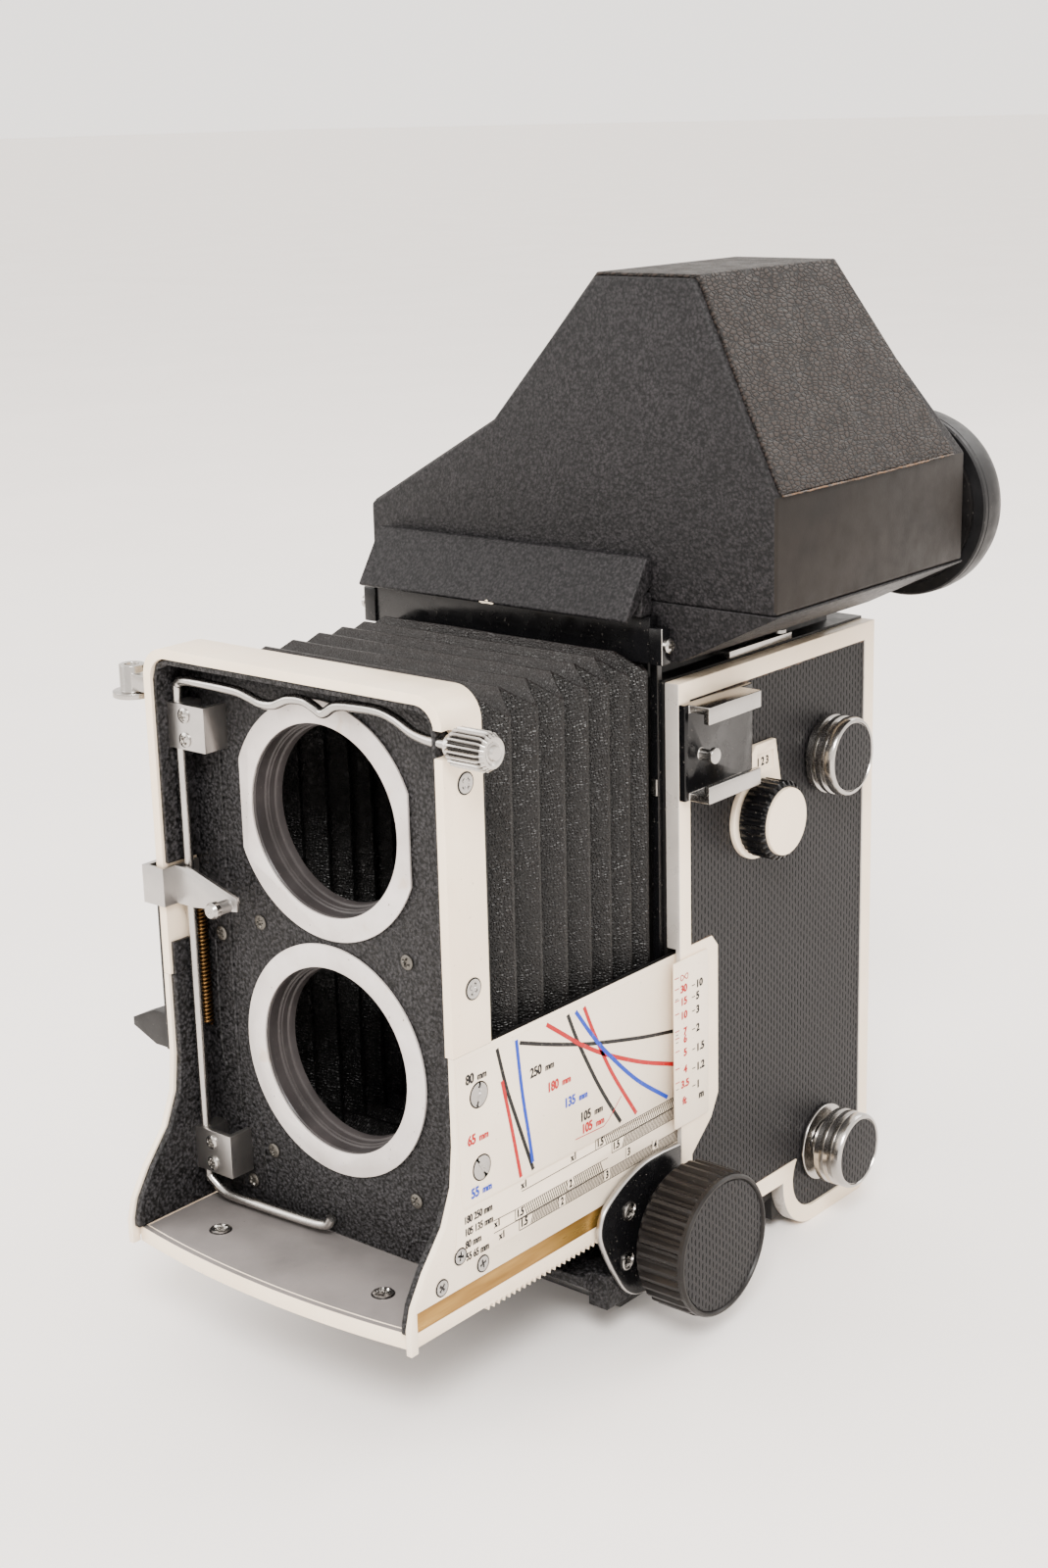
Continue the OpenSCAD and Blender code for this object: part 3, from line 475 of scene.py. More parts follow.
def rounded(obj, width, segments=2, angle=30, clamp=True):
    """Rounds the edges and keeps the result as the object's own mesh."""
    bevel = obj.modifiers.new("round", "BEVEL")
    bevel.width = width * MM
    bevel.segments = segments
    bevel.limit_method = "ANGLE"
    bevel.angle_limit = math.radians(angle)
    bevel.harden_normals = False
    bevel.use_clamp_overlap = clamp
    bpy.context.view_layer.update()
    seen = obj.evaluated_get(bpy.context.evaluated_depsgraph_get())
    mesh = bpy.data.meshes.new_from_object(seen)
    obj.modifiers.clear()
    obj.data = mesh
    mesh.shade_smooth()
    mesh.set_sharp_from_angle(angle=math.radians(34))
    return obj


def settle(obj, body, nodes=()):
    """Puts a finished piece on its body and hides the nodes it stands for."""
    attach(obj, body)
    if nodes:
        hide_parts(*nodes)
    return obj


def refine(node, mat, width=0.2, segments=2, rules=(), clamp=True):
    """A copy of a CAD node with clean faces and rounded edges, in its place.

    rules are (material, test) pairs: a face whose centre (mm) and normal pass takes the material."""
    source = frame["nodes"][node]
    bm = bmesh.new()
    bm.from_mesh(source.data)
    bmesh.ops.remove_doubles(bm, verts=bm.verts, dist=1e-6)
    bmesh.ops.dissolve_limit(bm, angle_limit=math.radians(0.6), verts=bm.verts, edges=bm.edges)
    obj = new_object(node + "_detail", bm, [mat] + [m for m, _ in rules])
    if width:
        rounded(obj, width, segments, clamp=clamp)
        if len(obj.data.materials) == 0:
            for m in [mat] + [m for m, _ in rules]:
                obj.data.materials.append(m)
    for face in obj.data.polygons:
        face.material_index = 0
        for number, (_, test) in enumerate(rules):
            if test(face.center / MM, face.normal):
                face.material_index = number + 1
    return settle(obj, source["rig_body"], [node])


def turned(name, profile, center, axis, mat, steps=96, ribs=0, sharp=32, squareness=2.2):
    """A turned piece. profile is a closed list of (along, radius[, rib depth]) in mm."""
    side = X_AXIS if abs(axis.z) > 0.5 else Z_AXIS
    other = axis.cross(side)
    if ribs:
        steps = ribs * 8
    bm = bmesh.new()
    rings = []
    for point in profile:
        along, radius = point[0], point[1]
        depth = point[2] if len(point) > 2 else 0.0
        ring = []
        for k in range(steps):
            a = 2 * math.pi * k / steps
            wave = 0.0
            if depth:
                wave = 0.5 - 0.5 * max(-1.0, min(1.0, squareness * math.cos(ribs * a)))
            r = radius - depth * wave
            at = Vector(center) + axis * along + side * (r * math.cos(a))
            at += other * (r * math.sin(a))
            ring.append(bm.verts.new(at * MM))
        rings.append(ring)
    for first, second in zip(rings, rings[1:] + rings[:1]):
        bridge(bm, first, second)
    bmesh.ops.remove_doubles(bm, verts=bm.verts, dist=2e-6)
    return new_object(name, bm, mat, sharp)


def smooth_path(points, per_span=6):
    """Catmull-Rom curve through the points."""
    points = [Vector(p) for p in points]
    ends = [points[0] * 2 - points[1]] + points + [points[-1] * 2 - points[-2]]
    out = []
    for a, b, c, d in zip(ends, ends[1:], ends[2:], ends[3:]):
        for i in range(per_span):
            t = i / per_span
            out.append(0.5 * (2 * b + (c - a) * t + (2 * a - 5 * b + 4 * c - d) * t * t
                              + (3 * b - a - 3 * c + d) * t ** 3))
    return out + [points[-1]]


def tube(bm, points, radius, sides=12):
    """Adds a round bar along the points (mm) to the bmesh, with closed ends."""
    points = [Vector(p) for p in points]
    side = None
    rings = []
    last = len(points) - 1
    for i, p in enumerate(points):
        ahead = (points[min(i + 1, last)] - points[max(i - 1, 0)]).normalized()
        if side is None:
            side = ahead.orthogonal().normalized()
        side = (side - ahead * side.dot(ahead)).normalized()
        up = ahead.cross(side)
        r = radius(i / last) if callable(radius) else radius
        rings.append([bm.verts.new(q * MM) for q in around(p, side, up, r, sides)])
    for first, second in zip(rings, rings[1:]):
        bridge(bm, first, second)
    for ring, p, q in ((rings[0], points[0], points[1]), (rings[-1], points[-1], points[-2])):
        reach = 0.35 * (ring[0].co / MM - p).length
        tip = bm.verts.new((p + (p - q).normalized() * reach) * MM)
        for k in range(sides):
            bm.faces.new((ring[k], ring[(k + 1) % sides], tip))


def slab(bm, outline, low, high, axis=0):
    """Adds a plate: a 2D outline (mm) on the two other axes, from low to high along the axis."""
    def corner(p, depth):
        co = [p[0], p[1]]
        co.insert(axis, depth)
        return Vector(co) * MM
    bottom = [bm.verts.new(corner(p, low)) for p in outline]
    top = [bm.verts.new(corner(p, high)) for p in outline]
    bm.faces.new(bottom[::-1])
    bm.faces.new(top)
    bridge(bm, bottom, top)


def plate(name, outlines, low, high, axis, mat, width=0.15):
    """A piece of one or more flat plates with rounded edges."""
    bm = bmesh.new()
    for outline in outlines:
        slab(bm, outline, low, high, axis)
    return rounded(new_object(name, bm, mat), width)


def shade_ring(bm, at, out, radius, thick=0.05):
    """Adds a thin dark ring round a screw head: painted shade at the head's edge."""
    out = Vector(out)
    side = X_AXIS if abs(out.x) < 0.5 else Y_AXIS
    rim = around(at, side, out.cross(side), radius, 32)
    low = [bm.verts.new(p * MM) for p in rim]
    high = [bm.verts.new((p + out * thick) * MM) for p in rim]
    bridge(bm, low, high)
    bm.faces.new(high)
    bm.faces.new(low[::-1])


def screw(bm, at, out, radius, height, slot_kind, turn=20.0, shade_mesh=None):
    """Adds a screw head: a low dome with a cross or a straight slot pressed into it."""
    # a thin dark ring round the head: painted shade
    if shade_mesh:
        shade_ring(shade_mesh, at, out, radius + 0.3)
    out = Vector(out)
    side = X_AXIS if abs(out.x) < 0.5 else Y_AXIS
    other = out.cross(side)
    rings, steps = 10, 40
    width, reach, depth = 0.2 * radius, 0.62 * radius, 0.75 * height
    if slot_kind == "slot":
        width, reach = 0.13 * radius, 1.05 * radius
    angle = math.radians(turn)
    grid = []
    for i in range(rings + 1):
        r = radius * i / rings
        ring = []
        for k in range(1 if i == 0 else steps):
            a = 2 * math.pi * k / steps
            u, v = r * math.cos(a), r * math.sin(a)
            p = u * math.cos(angle) + v * math.sin(angle)
            q = v * math.cos(angle) - u * math.sin(angle)
            lift = height * (1 - 0.45 * (r / radius) ** 3)
            cuts = [(p, q)] if slot_kind == "slot" else [(p, q), (q, p)]
            for along, across in cuts:
                if abs(across) < width and abs(along) < reach:
                    lift -= depth
                    break
            ring.append(bm.verts.new((Vector(at) + side * u + other * v + out * lift) * MM))
        grid.append(ring)
    for k in range(steps):
        bm.faces.new((grid[0][0], grid[1][k], grid[1][(k + 1) % steps]))
    base = [bm.verts.new(p * MM) for p in around(at, side, other, radius, steps)]
    rims = grid[1:] + [base]
    for first, second in zip(rims, rims[1:]):
        bridge(bm, first, second, flip=True)
    bm.faces.new(base)


class Print:
    """Collects flat printed marks of one ink on a face at x = level (mm)."""

    def __init__(self, level, thick=0.02):
        self.bm = bmesh.new()
        self.level = level
        self.thick = thick

    def line(self, points, width=0.25):
        """A stroke through (y, z) points."""
        pts = [Vector(p) for p in points]
        left, right = [], []
        for i, p in enumerate(pts):
            ahead = (pts[min(i + 1, len(pts) - 1)] - pts[max(i - 1, 0)]).normalized()
            across = Vector((-ahead.y, ahead.x)) * width / 2
            left.append(p + across)
            right.append(p - across)
        slab(self.bm, right + left[::-1], self.level, self.level + self.thick, 0)

    def curve(self, points, width):
        self.line([(p.x, p.y) for p in smooth_path([(y, z, 0) for y, z in points])], width)

    def text(self, words, at, size, squeeze=0.62, weight=0.0):
        font = bpy.data.curves.new("words", "FONT")
        font.body = words
        font.size = size * MM
        font.extrude = self.thick / 2 * MM
        font.offset = weight * MM
        holder = bpy.data.objects.new("words", font)
        bpy.context.collection.objects.link(holder)
        bpy.context.view_layer.update()
        seen = holder.evaluated_get(bpy.context.evaluated_depsgraph_get())
        mesh = bpy.data.meshes.new_from_object(seen)
        for shift in (0.0, 0.15):
            face = mesh.copy()
            level = self.level + self.thick / 2 + shift * 0.04
            face.transform(Matrix(((0, 0, 1, level * MM), (squeeze, 0, 0, (at[0] + shift) * MM),
                                   (0, 1, 0, (at[1] + shift * 0.6) * MM), (0, 0, 0, 1))))
            self.bm.from_mesh(face)
            bpy.data.meshes.remove(face)
        bpy.data.objects.remove(holder)
        bpy.data.curves.remove(font)
        bpy.data.meshes.remove(mesh)

    def done(self, name, mat, body, slot):
        bmesh.ops.remove_doubles(self.bm, verts=self.bm.verts, dist=1e-8)
        return settle(new_object(name, self.bm, mat), body)


# ---- stage ----

make_camera()
floor_bm = bmesh.new()
FLOOR = 30000
slab(floor_bm, [(-FLOOR, -FLOOR), (FLOOR, -FLOOR), (FLOOR, FLOOR), (-FLOOR, FLOOR)], -4, 0, 2)
paper = Finish("pale_paper")
tone = paper.patches(0.008, 4.0)
paper.color(paper.mix(tone, srgb(247, 242, 238), srgb(243, 238, 234)))
paper.gloss(paper.patches(0.05, 3.0, 0.55, 0.75))
new_object("floor", floor_bm, paper.mat)
area_light("key", (0.75, -0.95, 1.15), (0.0, -0.03, 0.09), (0.5, 0.5), 44.0, (1.0, 0.975, 0.95))
area_light("fill", (-1.1, -1.0, 0.7), (0.0, -0.05, 0.08), (1.0, 0.8), 13.0, (1.0, 0.98, 0.96))
area_light("back", (0.4, 1.2, 1.1), (0.0, 0.0, 0.1), (1.2, 0.7), 14.0, (1.0, 0.99, 0.98))
world = bpy.data.worlds.new("studio")
bpy.context.scene.world = world
world.use_nodes = True
world.node_tree.nodes["Background"].inputs[0].default_value = srgb(255, 249, 243)
world.node_tree.nodes["Background"].inputs[1].default_value = 2.3

# ---- fixed body ----

BRACKET_IN, BRACKET_OUT = 39.9, 41.5


refine("body_shell", M["satin"], 0.4)
for name in ("side_cover_right", "side_cover_left"):
    refine(name, M["cream"], 0.7, 3,
           [(M["edge"], lambda c, n: n.y < -0.35 and abs(c.x) > 36)])
refine("side_leathers", M["leather_side"], 0.14, 1)
refine("base_block", M["panel"], 0.7, 3)
BRACKET_FRONT = [
    (-44, 38.7), (-50, 38.6), (-55.5, 37.3), (-60.2, 35.2), (-64.0, 32.6), (-65.5, 29.6), (-65.4, 26.4),
    (-63.4, 21.6), (-60.4, 16.2), (-57.6, 12.2), (-54.2, 9.8), (-50.5, 8.9)]
front_curve = [(p.x, p.y) for p in smooth_path([(y, z, 0) for y, z in BRACKET_FRONT], 4)]
bracket_outline = [(-37.5, 38.2)] + front_curve + [(-37.5, 8.9)]
brackets = bmesh.new()
for inner, outer in ((BRACKET_IN, BRACKET_OUT), (-BRACKET_OUT, -BRACKET_IN)):
    slab(brackets, bracket_outline, inner, outer, 0)
brackets = rounded(new_object("bracket_plates", brackets, [M["gloss"], M["bright"]]), 0.6, 3)
for face in brackets.data.polygons:
    face.material_index = 1 if abs(face.normal.x) < 0.92 else 0
settle(brackets, "body", ["focus_brackets"])
refine("scale_plate", M["print"], 0.25)
refine("accessory_shoe", M["gloss"], 0.18, 2,
       [(M["cream"], lambda c, n: c.x > 42.62 and not (c.z > 119 and c.z < 126)),
        (M["chrome"], lambda c, n: c.x > 42.62)])
refine("dial_plates", M["cream"], 0.2, 2,
       [(M["chrome"], lambda c, n: c.z < 40)])
refine("front_strip", M["gloss"], 0.25)
refine("hook_brackets", M["gloss"], 0.25, 2,
       [(M["chrome"], lambda c, n: n.y < -0.5 and abs(c.x) > 39.25)])
refine("viewing_mirror", M["mirror"], 0.1, 1)
refine("focusing_screen", M["screen"], 0.1, 1)
refine("chamber_divider", M["satin"], 0.15, 1)
refine("film_gate", M["satin"], 0.2, 1)
refine("film_rollers", M["chrome"], 0.2)
refine("tripod_plate", M["steel"], 0.3)
refine("nameplate", M["front"], 0.5, 3)
chip = [
    (-1.9, 151.45), (-1.1, 151.2), (0.4, 151.3), (1.7, 151.2), (2.0, 151.6), (0.8, 151.75), (0.2, 152.1),
    (-0.6, 151.8), (-1.6, 151.9)]
settle(plate("nameplate_chip", [chip], -47.5, -46.9, 1, M["cream"], 0.08), "body")


def glue_line(name, paths, body, radius=0.22):
    """A wavering bead of dried glue along (x, y, z) paths."""
    bm = bmesh.new()
    for path in paths:
        fine = []
        for a, b in zip(path, path[1:]):
            a, b = Vector(a), Vector(b)
            count = max(2, int((b - a).length / 0.8))
            fine += [a.lerp(b, i / count) for i in range(count)]
        fine.append(Vector(path[-1]))
        moved = [p + Vector((0, noise.noise(p * 0.9), noise.noise(p * 0.9 + X_AXIS * 40))) * 0.12
                 for p in fine]
        thickness = [radius * (0.8 + 0.6 * abs(noise.noise(p * 0.5))) for p in fine]
        last = len(thickness) - 1
        tube(bm, moved, lambda t: thickness[min(last, int(t * last + 0.5))], 6)
    return settle(new_object(name, bm, M["glue"], 60), body)


SIDE_GLUE_X = 40.45
for side, tag in ((1, "right"), (-1, "left")):
    step = [(-25.4, 81.1), (-23.3, 78.4), (-23.3, 45), (-26, 40), (-32.9, 33.6)] if side > 0 else []
    route = [(33.2, 133.3), (-32.8, 133.3), (-32.9, 81)] + step + [(-32.9, 17.8), (3.5, 17.7)]
    glue_line("side_glue_" + tag, [[(side * SIDE_GLUE_X, y, z) for y, z in route]], "body", 0.3)

BODY_SCREWS = [(56.3, 30.0), (57.2, 19.0)]
body_screws, body_shade_rings = bmesh.new(), bmesh.new()
for side in (1, -1):
    for y, z in BODY_SCREWS:
        screw(body_screws, (side * 41.5, -y, z), (side, 0, 0), 1.9, 0.8, "cross", 30, body_shade_rings)
    screw(body_screws, (side * 40.4, -39.9, 146), (side, 0, 0), 1.5, 1.4, "cross", 0)
screw(body_screws, (41.9, 13.2, 19.9), (1, 0, 0), 1.3, 0.5, "cross", 15, body_shade_rings)
settle(new_object("body_screw_heads", body_screws, M["chrome"]), "body", ["body_screws"])
# dark rings round the body's screw heads: painted shade
settle(new_object("body_screw_shade_rings", body_shade_rings, M["satin"]), "body")

# catch on the front edge of the body
catch = [(35.4, 114), (36.9, 114), (36.9, 117.6), (35.4, 117.6)]
settle(plate("front_catches", [catch], -39.1, -38.5, 1, M["chrome"], 0.2), "body")

# ---- distance scale ----

SCALE_X = 41.62
red, black = Print(SCALE_X), Print(SCALE_X)
FEET = [
    ("30", 72.5, 73.3), ("15", 69.7, 70.7), ("10", 66.6, 67.8), ("7", 62.9, 64.0), ("6", 61.2, 62.4),
    ("5", 58.2, 59.5), ("4", 54.4, 55.6), ("3.5", 51.2, 52.5)]
for words, text_z, tick_z in FEET:
    red.text(words, (-37.9 if len(words) > 1 else -36.9, text_z - 0.5), 2.3, 1.02, 0.05)
    red.line([(-39.8, tick_z), (-38.3, tick_z)], 0.2)
red.line([(-39.8, 75.7), (-38.3, 75.7)], 0.2)
loop = [(-36.4 + 1.3 * math.sin(t), 75.3 + 0.6 * math.sin(2 * t))
        for t in [2 * math.pi * i / 28 for i in range(29)]]
for a, b in zip(loop, loop[1:]):
    red.line([a, b], 0.22)
red.text("ft", (-37.4, 46.9), 2.3, 1.02, 0.05)
METRES = [("10", 72.4), ("5", 69.8), ("3", 66.7), ("2", 62.6), ("1.5", 58.1), ("1.2", 53.8), ("1", 49.8)]
for words, z in METRES:
    black.text(words, (-32.4, z - 0.8), 2.35, 1.02, 0.055)
    black.line([(-33.8, z + 0.1), (-32.7, z + 0.1)], 0.22)
black.text("m", (-31.6, 46.4), 2.35, 1.02, 0.055)
for z in (71.1, 63.2, 61.5, 51.0):
    black.line([(-39.6, z), (-38.7, z)], 0.16)
red.done("distance_marks_red", M["ink_red"], "body", "printed_plate")
black.done("distance_marks_black", M["ink_black"], "body", "printed_plate")

# numbers in the window of the lens lock's plate
PLATE_X = 41.52
window = Print(PLATE_X)
for words, y in (("1", -9.6), ("2", -7.9), ("3", -6.2)):
    window.text(words, (y - 0.4, 114.2), 2.5, 0.9, 0.05)
window.done("window_numbers", M["ink_black"], "body", "printed_plate")

# ---- bellows ----

TIPS = [-91.7, -84.1, -76.0, -68.2, -60.6, -54.0, -47.4, -41.4]
BELLOWS_FRONT, BELLOWS_REAR = -95.0, -38.1
# the side's ridges meet the top's valleys, so each corner edge runs in a zigzag
TIP_SIZE, VALLEY_SIZE, END_SIZE = (36.5, 140.9, 33.8), (31.6, 144.6, 30.0), (32.6, 141.0, 33.0)


def bellows_ring(bm, y, size, cut, side_wave):
    """One ring of the bellows: a rectangle with cut corners, with points along its sides."""
    half, top, bottom = size
    middle = 87
    corners = [
        (half, bottom + cut), (half, top - cut), (half - cut, top), (cut - half, top),
        (-half, top - cut), (-half, bottom + cut), (cut - half, bottom), (half - cut, bottom)]
    ring = []
    for k, (a, b) in enumerate(zip(corners, corners[1:] + corners[:1])):
        pieces = 10 if k % 2 == 0 else 1
        for i in range(pieces):
            t = i / pieces
            x, z = a[0] + (b[0] - a[0]) * t, a[1] + (b[1] - a[1]) * t
            sag = side_wave * math.sin(math.pi * t) if pieces > 1 else 0.0
            wander = 0.35 * noise.noise(Vector((x * 0.06, y * 0.4, z * 0.06)))
            pull = 1 - (sag + wander) / max(abs(x), abs(z - middle), 1.0)
            at = Vector((x * pull, y + wander * 0.8, middle + (z - middle) * pull))
            ring.append(bm.verts.new(at * MM))
    return ring


bellows_bm = bmesh.new()
# each station is (y, size, corner cut, how far the long sides bow inwards)
stations = [(BELLOWS_FRONT, END_SIZE, 1.0, 0.0)]
for n, tip in enumerate(TIPS):
    stations += [(tip - 0.3, TIP_SIZE, 0.5, 0.3), (tip + 0.3, TIP_SIZE, 0.5, 0.3)]
    if n + 1 < len(TIPS):
        middle = (tip + TIPS[n + 1]) / 2 - 0.6
        stations += [(middle - 0.2, VALLEY_SIZE, 0.5, 0.0), (middle + 0.2, VALLEY_SIZE, 0.5, 0.0)]
stations += [(-38.9, (31.6, 141.2, 33.0), 0.5, 0.0), (BELLOWS_REAR, (33.4, 141.2, 32.0), 1.0, 0.0)]
outer = [bellows_ring(bellows_bm, *s) for s in stations]
for first, second in zip(outer, outer[1:]):
    bridge(bellows_bm, first, second)
bellows = new_object("bellows_folds", bellows_bm, M["bellows"], 20)
thick = bellows.modifiers.new("thickness", "SOLIDIFY")
thick.thickness = 0.5 * MM
thick.offset = -1
rounded(bellows, 0.22, 2, 34)
settle(bellows, "body", ["bellows"])
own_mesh(bellows)

# ---- front standard ----

refine("standard_frame", M["cream"], 0.55, 3)
refine("standard_panel", M["panel"], 0.2)
refine("lens_ring_upper", M["ring"], 0.12)
refine("lens_ring_lower", M["ring"], 0.12)
refine("front_tray", M["grey"], 0.22, 2,
       [(M["cream"], lambda c, n: n.y < -0.6)])
refine("rod_clamps", M["bright"], 0.55, 3)
refine("cable_socket", M["chrome"], 0.2)
refine("guide_strips", M["brass"], 0.12, 1)
refine("focus_racks", M["cream"], 0.06, 1)
for name in ("chart_plate_right", "chart_plate_left"):
    refine(name, M["print"], 0.2, 2,
           [(M["satin"], lambda c, n: n.z > 0.7 and c.z > 60)])

FRONT = -97.4
for name, height in (("upper", 117.0), ("lower", 67.0)):
    profile = [
        (0.15, 20.9), (0.15, 19.7), (0.45, 19.45), (2.9, 19.45), (3.05, 19.1), (3.3, 19.0), (3.45, 19.2),
        (3.6, 18.75), (4.9, 18.7), (5.05, 18.3), (5.35, 18.15), (6.6, 18.1), (6.6, 20.9)]
    barrel = turned("lens_barrel_" + name, profile, (0, FRONT, height), Y_AXIS, M["barrel"], 128)
    settle(barrel, "standard", ["lens_tubes"])

# black lining inside the frame and the two cheeks
LINING = [
    (-37.45, 103.7), (-37.45, 142.1), (-36.3, 145.3), (-33.1, 146.6), (33.1, 146.6), (36.3, 145.3),
    (37.45, 142.1), (37.45, 79.8), (36.4, 79.8), (36.4, 141.6), (35.6, 144.2), (32.8, 145.4),
    (-32.8, 145.4), (-35.6, 144.2), (-36.4, 141.6), (-36.4, 103.7)]
LOWER_LEFT = [(-37.45, 79.8), (-37.45, 86.8), (-36.4, 86.8), (-36.4, 79.8)]
lining = plate("frame_lining", [LINING, LOWER_LEFT], -105.9, FRONT, 1, M["panel"], 0.18)
settle(lining, "standard")
CHEEK = [
    (FRONT, 79.8), (-105.9, 79.8), (-105.9, 62), (-106.8, 54.2), (-109.8, 47.2), (-115.6, 40.1),
    (-119.2, 34.4), (-120.4, 30.2), (-120.4, 28.4), (FRONT, 28.4)]
cheeks = bmesh.new()
slab(cheeks, CHEEK, 36.5, 38.15, 0)
slab(cheeks, CHEEK, -38.15, -36.5, 0)
slab(cheeks, [(-94.9, 26.3), (-60.1, 26.3), (-60.1, 28.1), (-94.9, 28.1)], -38.15, 38.15, 0)
cheek_lining = rounded(new_object("cheek_linings", cheeks, M["panel"]), 0.25)
settle(cheek_lining, "standard", ["carriage"])

# raised edges cast into the panel
# radius and (x, z) points
RIDGES = [
    (0.45, [(-28.6, 127), (-28.6, 100), (-28.4, 54), (-27.4, 51.6), (-24.6, 50.4), (-22.6, 48.4),
            (-22.2, 40), (-21, 36)]),
    (0.4, [(17, 30), (19, 33), (24, 34.4), (30, 35), (34, 38), (36.2, 43)]),
    (0.35, [(-33.2, 86), (-33.2, 62), (-32, 58)])]
relief = bmesh.new()
for radius, points in RIDGES:
    tube(relief, smooth_path([(x, FRONT, z) for x, z in points]), radius, 8)
settle(new_object("panel_ridges", relief, M["panel"], 60), "standard")

PANEL_SCREWS = [(-19.4, 92.3), (-31.1, 87.6), (20.5, 92.3), (-19.3, 42.2), (-26.0, 33.6), (20.5, 42.2)]
dull_screws, chrome_screws, shade_rings = bmesh.new(), bmesh.new(), bmesh.new()
for n, (x, z) in enumerate(PANEL_SCREWS):
    screw(dull_screws, (x, FRONT, z), (0, -1, 0), 1.5, 0.5, "cross", 20 + 25 * n, shade_rings)
for n, z in enumerate((134.9, 129.9, 42.9, 38.2)):
    screw(chrome_screws, (-31.6, -103.4, z), (0, -1, 0), 1.55, 0.7, "cross", 10 + 30 * n, shade_rings)
for x in (-22.8, 22.8):
    screw(chrome_screws, (x, -110.6, 28.3), (0, 0, 1), 2.1, 0.7, "cross", 40 + x, shade_rings)
SIDE_X = 39.55
# on each side: radius, height, kind of slot, first turn, turn from one to the next, places (y, z)
SIDE_SCREWS = [
    (1.9, 0.25, "cross", 40, 20, [(-100.5, 131.8), (-100.2, 92.0)]),
    (2.4, 0.28, "slot", 80, 40, [(-99.7, 70.6), (-99.5, 55.6)]),
    (1.5, 0.2, "cross", 15, 30, [(-100.0, 35.6), (-111.9, 35.4), (-106.4, 39.7)])]
for side in (1, -1):
    for radius, height, kind, turn, more, places in SIDE_SCREWS:
        for n, (y, z) in enumerate(places):
            at = (side * SIDE_X, y, z)
            screw(chrome_screws, at, (side, 0, 0), radius, height, kind, turn + more * n, shade_rings)
settle(new_object("panel_screw_heads", dull_screws, M["steel"]), "standard", ["standard_screws"])
settle(new_object("standard_screw_heads", chrome_screws, M["chrome"]), "standard")
# dark rings round the standard's screw heads: painted shade
settle(new_object("standard_screw_shade_rings", shade_rings, M["satin"]), "standard")

# ---- exposure chart ----

CHART_X, INK_X = 39.5, 39.61
UPPER_FIELD = [
    (-106.0, 77.4), (-105.4, 78.5), (-104.4, 78.8), (-34.4, 78.6), (-34.4, 47.6), (-104.6, 48.8),
    (-105.5, 49.4)]
LOWER_FIELD = [
    (-106.9, 48.4), (-107.9, 39.6), (-107.6, 38.4), (-106.4, 37.9), (-34.4, 36.4), (-34.4, 47.3),
    (-106.0, 48.6)]
for side, tag in ((1, "right"), (-1, "left")):
    low, high = sorted((side * CHART_X, side * (CHART_X + 0.1)))
    sheets = plate("chart_sheets_" + tag, [UPPER_FIELD, LOWER_FIELD], low, high, 0, M["print"], 0.05)
    settle(sheets, "standard")
black, red, blue = Print(INK_X), Print(INK_X + 0.012), Print(INK_X + 0.024)
# the pen, the width and the (y, z) points of each curve
CURVES = [
    (black, 0.9, [(-94.1, 78.0), (-91.6, 69.0), (-88.7, 61.1), (-84.3, 49.4)]),
    (red, 0.9, [(-92.9, 71.0), (-90.6, 61.0), (-88.1, 49.2)]),
    (blue, 0.9, [(-88.4, 77.9), (-87.1, 67.0), (-85.5, 57.7), (-84.4, 51.0)]),
    (black, 0.8, [(-87.4, 77.0), (-79.5, 74.1), (-71.5, 71.4), (-64.5, 69.3), (-53.8, 66.6), (-46.4, 64.9),
                  (-36.0, 62.9)]),
    (red, 0.9, [(-79.2, 78.1), (-74.1, 74.4), (-68.7, 70.5), (-62.5, 66.7), (-56.1, 63.4), (-47.3, 59.4),
                (-36.0, 55.2)]),
    (black, 0.9, [(-72.6, 78.0), (-69.7, 71.6), (-64.7, 62.4), (-60.6, 55.8), (-56.1, 49.3)]),
    (blue, 0.9, [(-70.1, 77.9), (-64.5, 70.6), (-58.9, 64.5), (-50.3, 56.5), (-40.0, 49.1)]),
    (red, 0.9, [(-67.4, 78.0), (-64.5, 71.7), (-59.0, 61.4), (-50.8, 49.3)])]
for pen, width, points in CURVES:
    pen.curve(points, width)
red.line([(-71.0, 50.8), (-61.8, 50.4), (-60.0, 51.3), (-55.8, 54.9)], 0.18)
CHART_WORDS = [
    (black, "80 mm", -103.4, 73.6), (red, "65 mm", -103.4, 61.2), (blue, "55 mm", -102.9, 50.2),
    (black, "250 mm", -84.6, 68.6), (red, "180 mm", -79.5, 63.8), (blue, "135 mm", -74.3, 58.7),
    (black, "105 mm", -69.4, 53.9), (red, "105 mm", -69.0, 51.2)]
for pen, words, y, z in CHART_WORDS:
    number, unit = words.split()
    pen.text(number, (y, z), 2.8, 0.84, 0.055)
    pen.text(unit, (y + 1.35 * len(number) + 0.6, z), 2.1, 0.84, 0.03)
for n, words in enumerate(("180 250 mm", "105 135 mm", "80 mm", "55 65 mm")):
    black.text(words, (-105.2 + 0.1 * n, 45.7 - 2.55 * n), 2.2, 0.74, 0.03)
for place in ((-88.2, 46.6), (-96.5, 41.6), (-95.2, 38.6), (-72.6, 46.6)):
    black.text("x1", place, 2.2, 0.85, 0.03)
BARS = [(-64.5, 46.1, 48.3), (-59.2, 43.5, 45.9), (-90.1, 40.6, 43.0), (-89.0, 38.1, 40.4)]
SPAN_END = -34.8
for n, (start, low, high) in enumerate(BARS):
    end = -60.5 if n == 2 else SPAN_END
    black.line([(-88.0 if n == 0 else start, low), (end, low)], 0.18)
    black.line([(start, high), (end, high)], 0.14)
    black.line([(start, low), (start, high)], 0.2)
    y = start + 3.6
    while y < end - 1.2:
        lean = 0.8 if n % 2 else -0.8
        black.line([(y, low + 0.15), (y + lean, high - 0.1)], 0.25)
        y += 0.62 - 0.1 * (n % 2)
black.line([(-96.6, 43.2), (-90.1, 43.0)], 0.18)
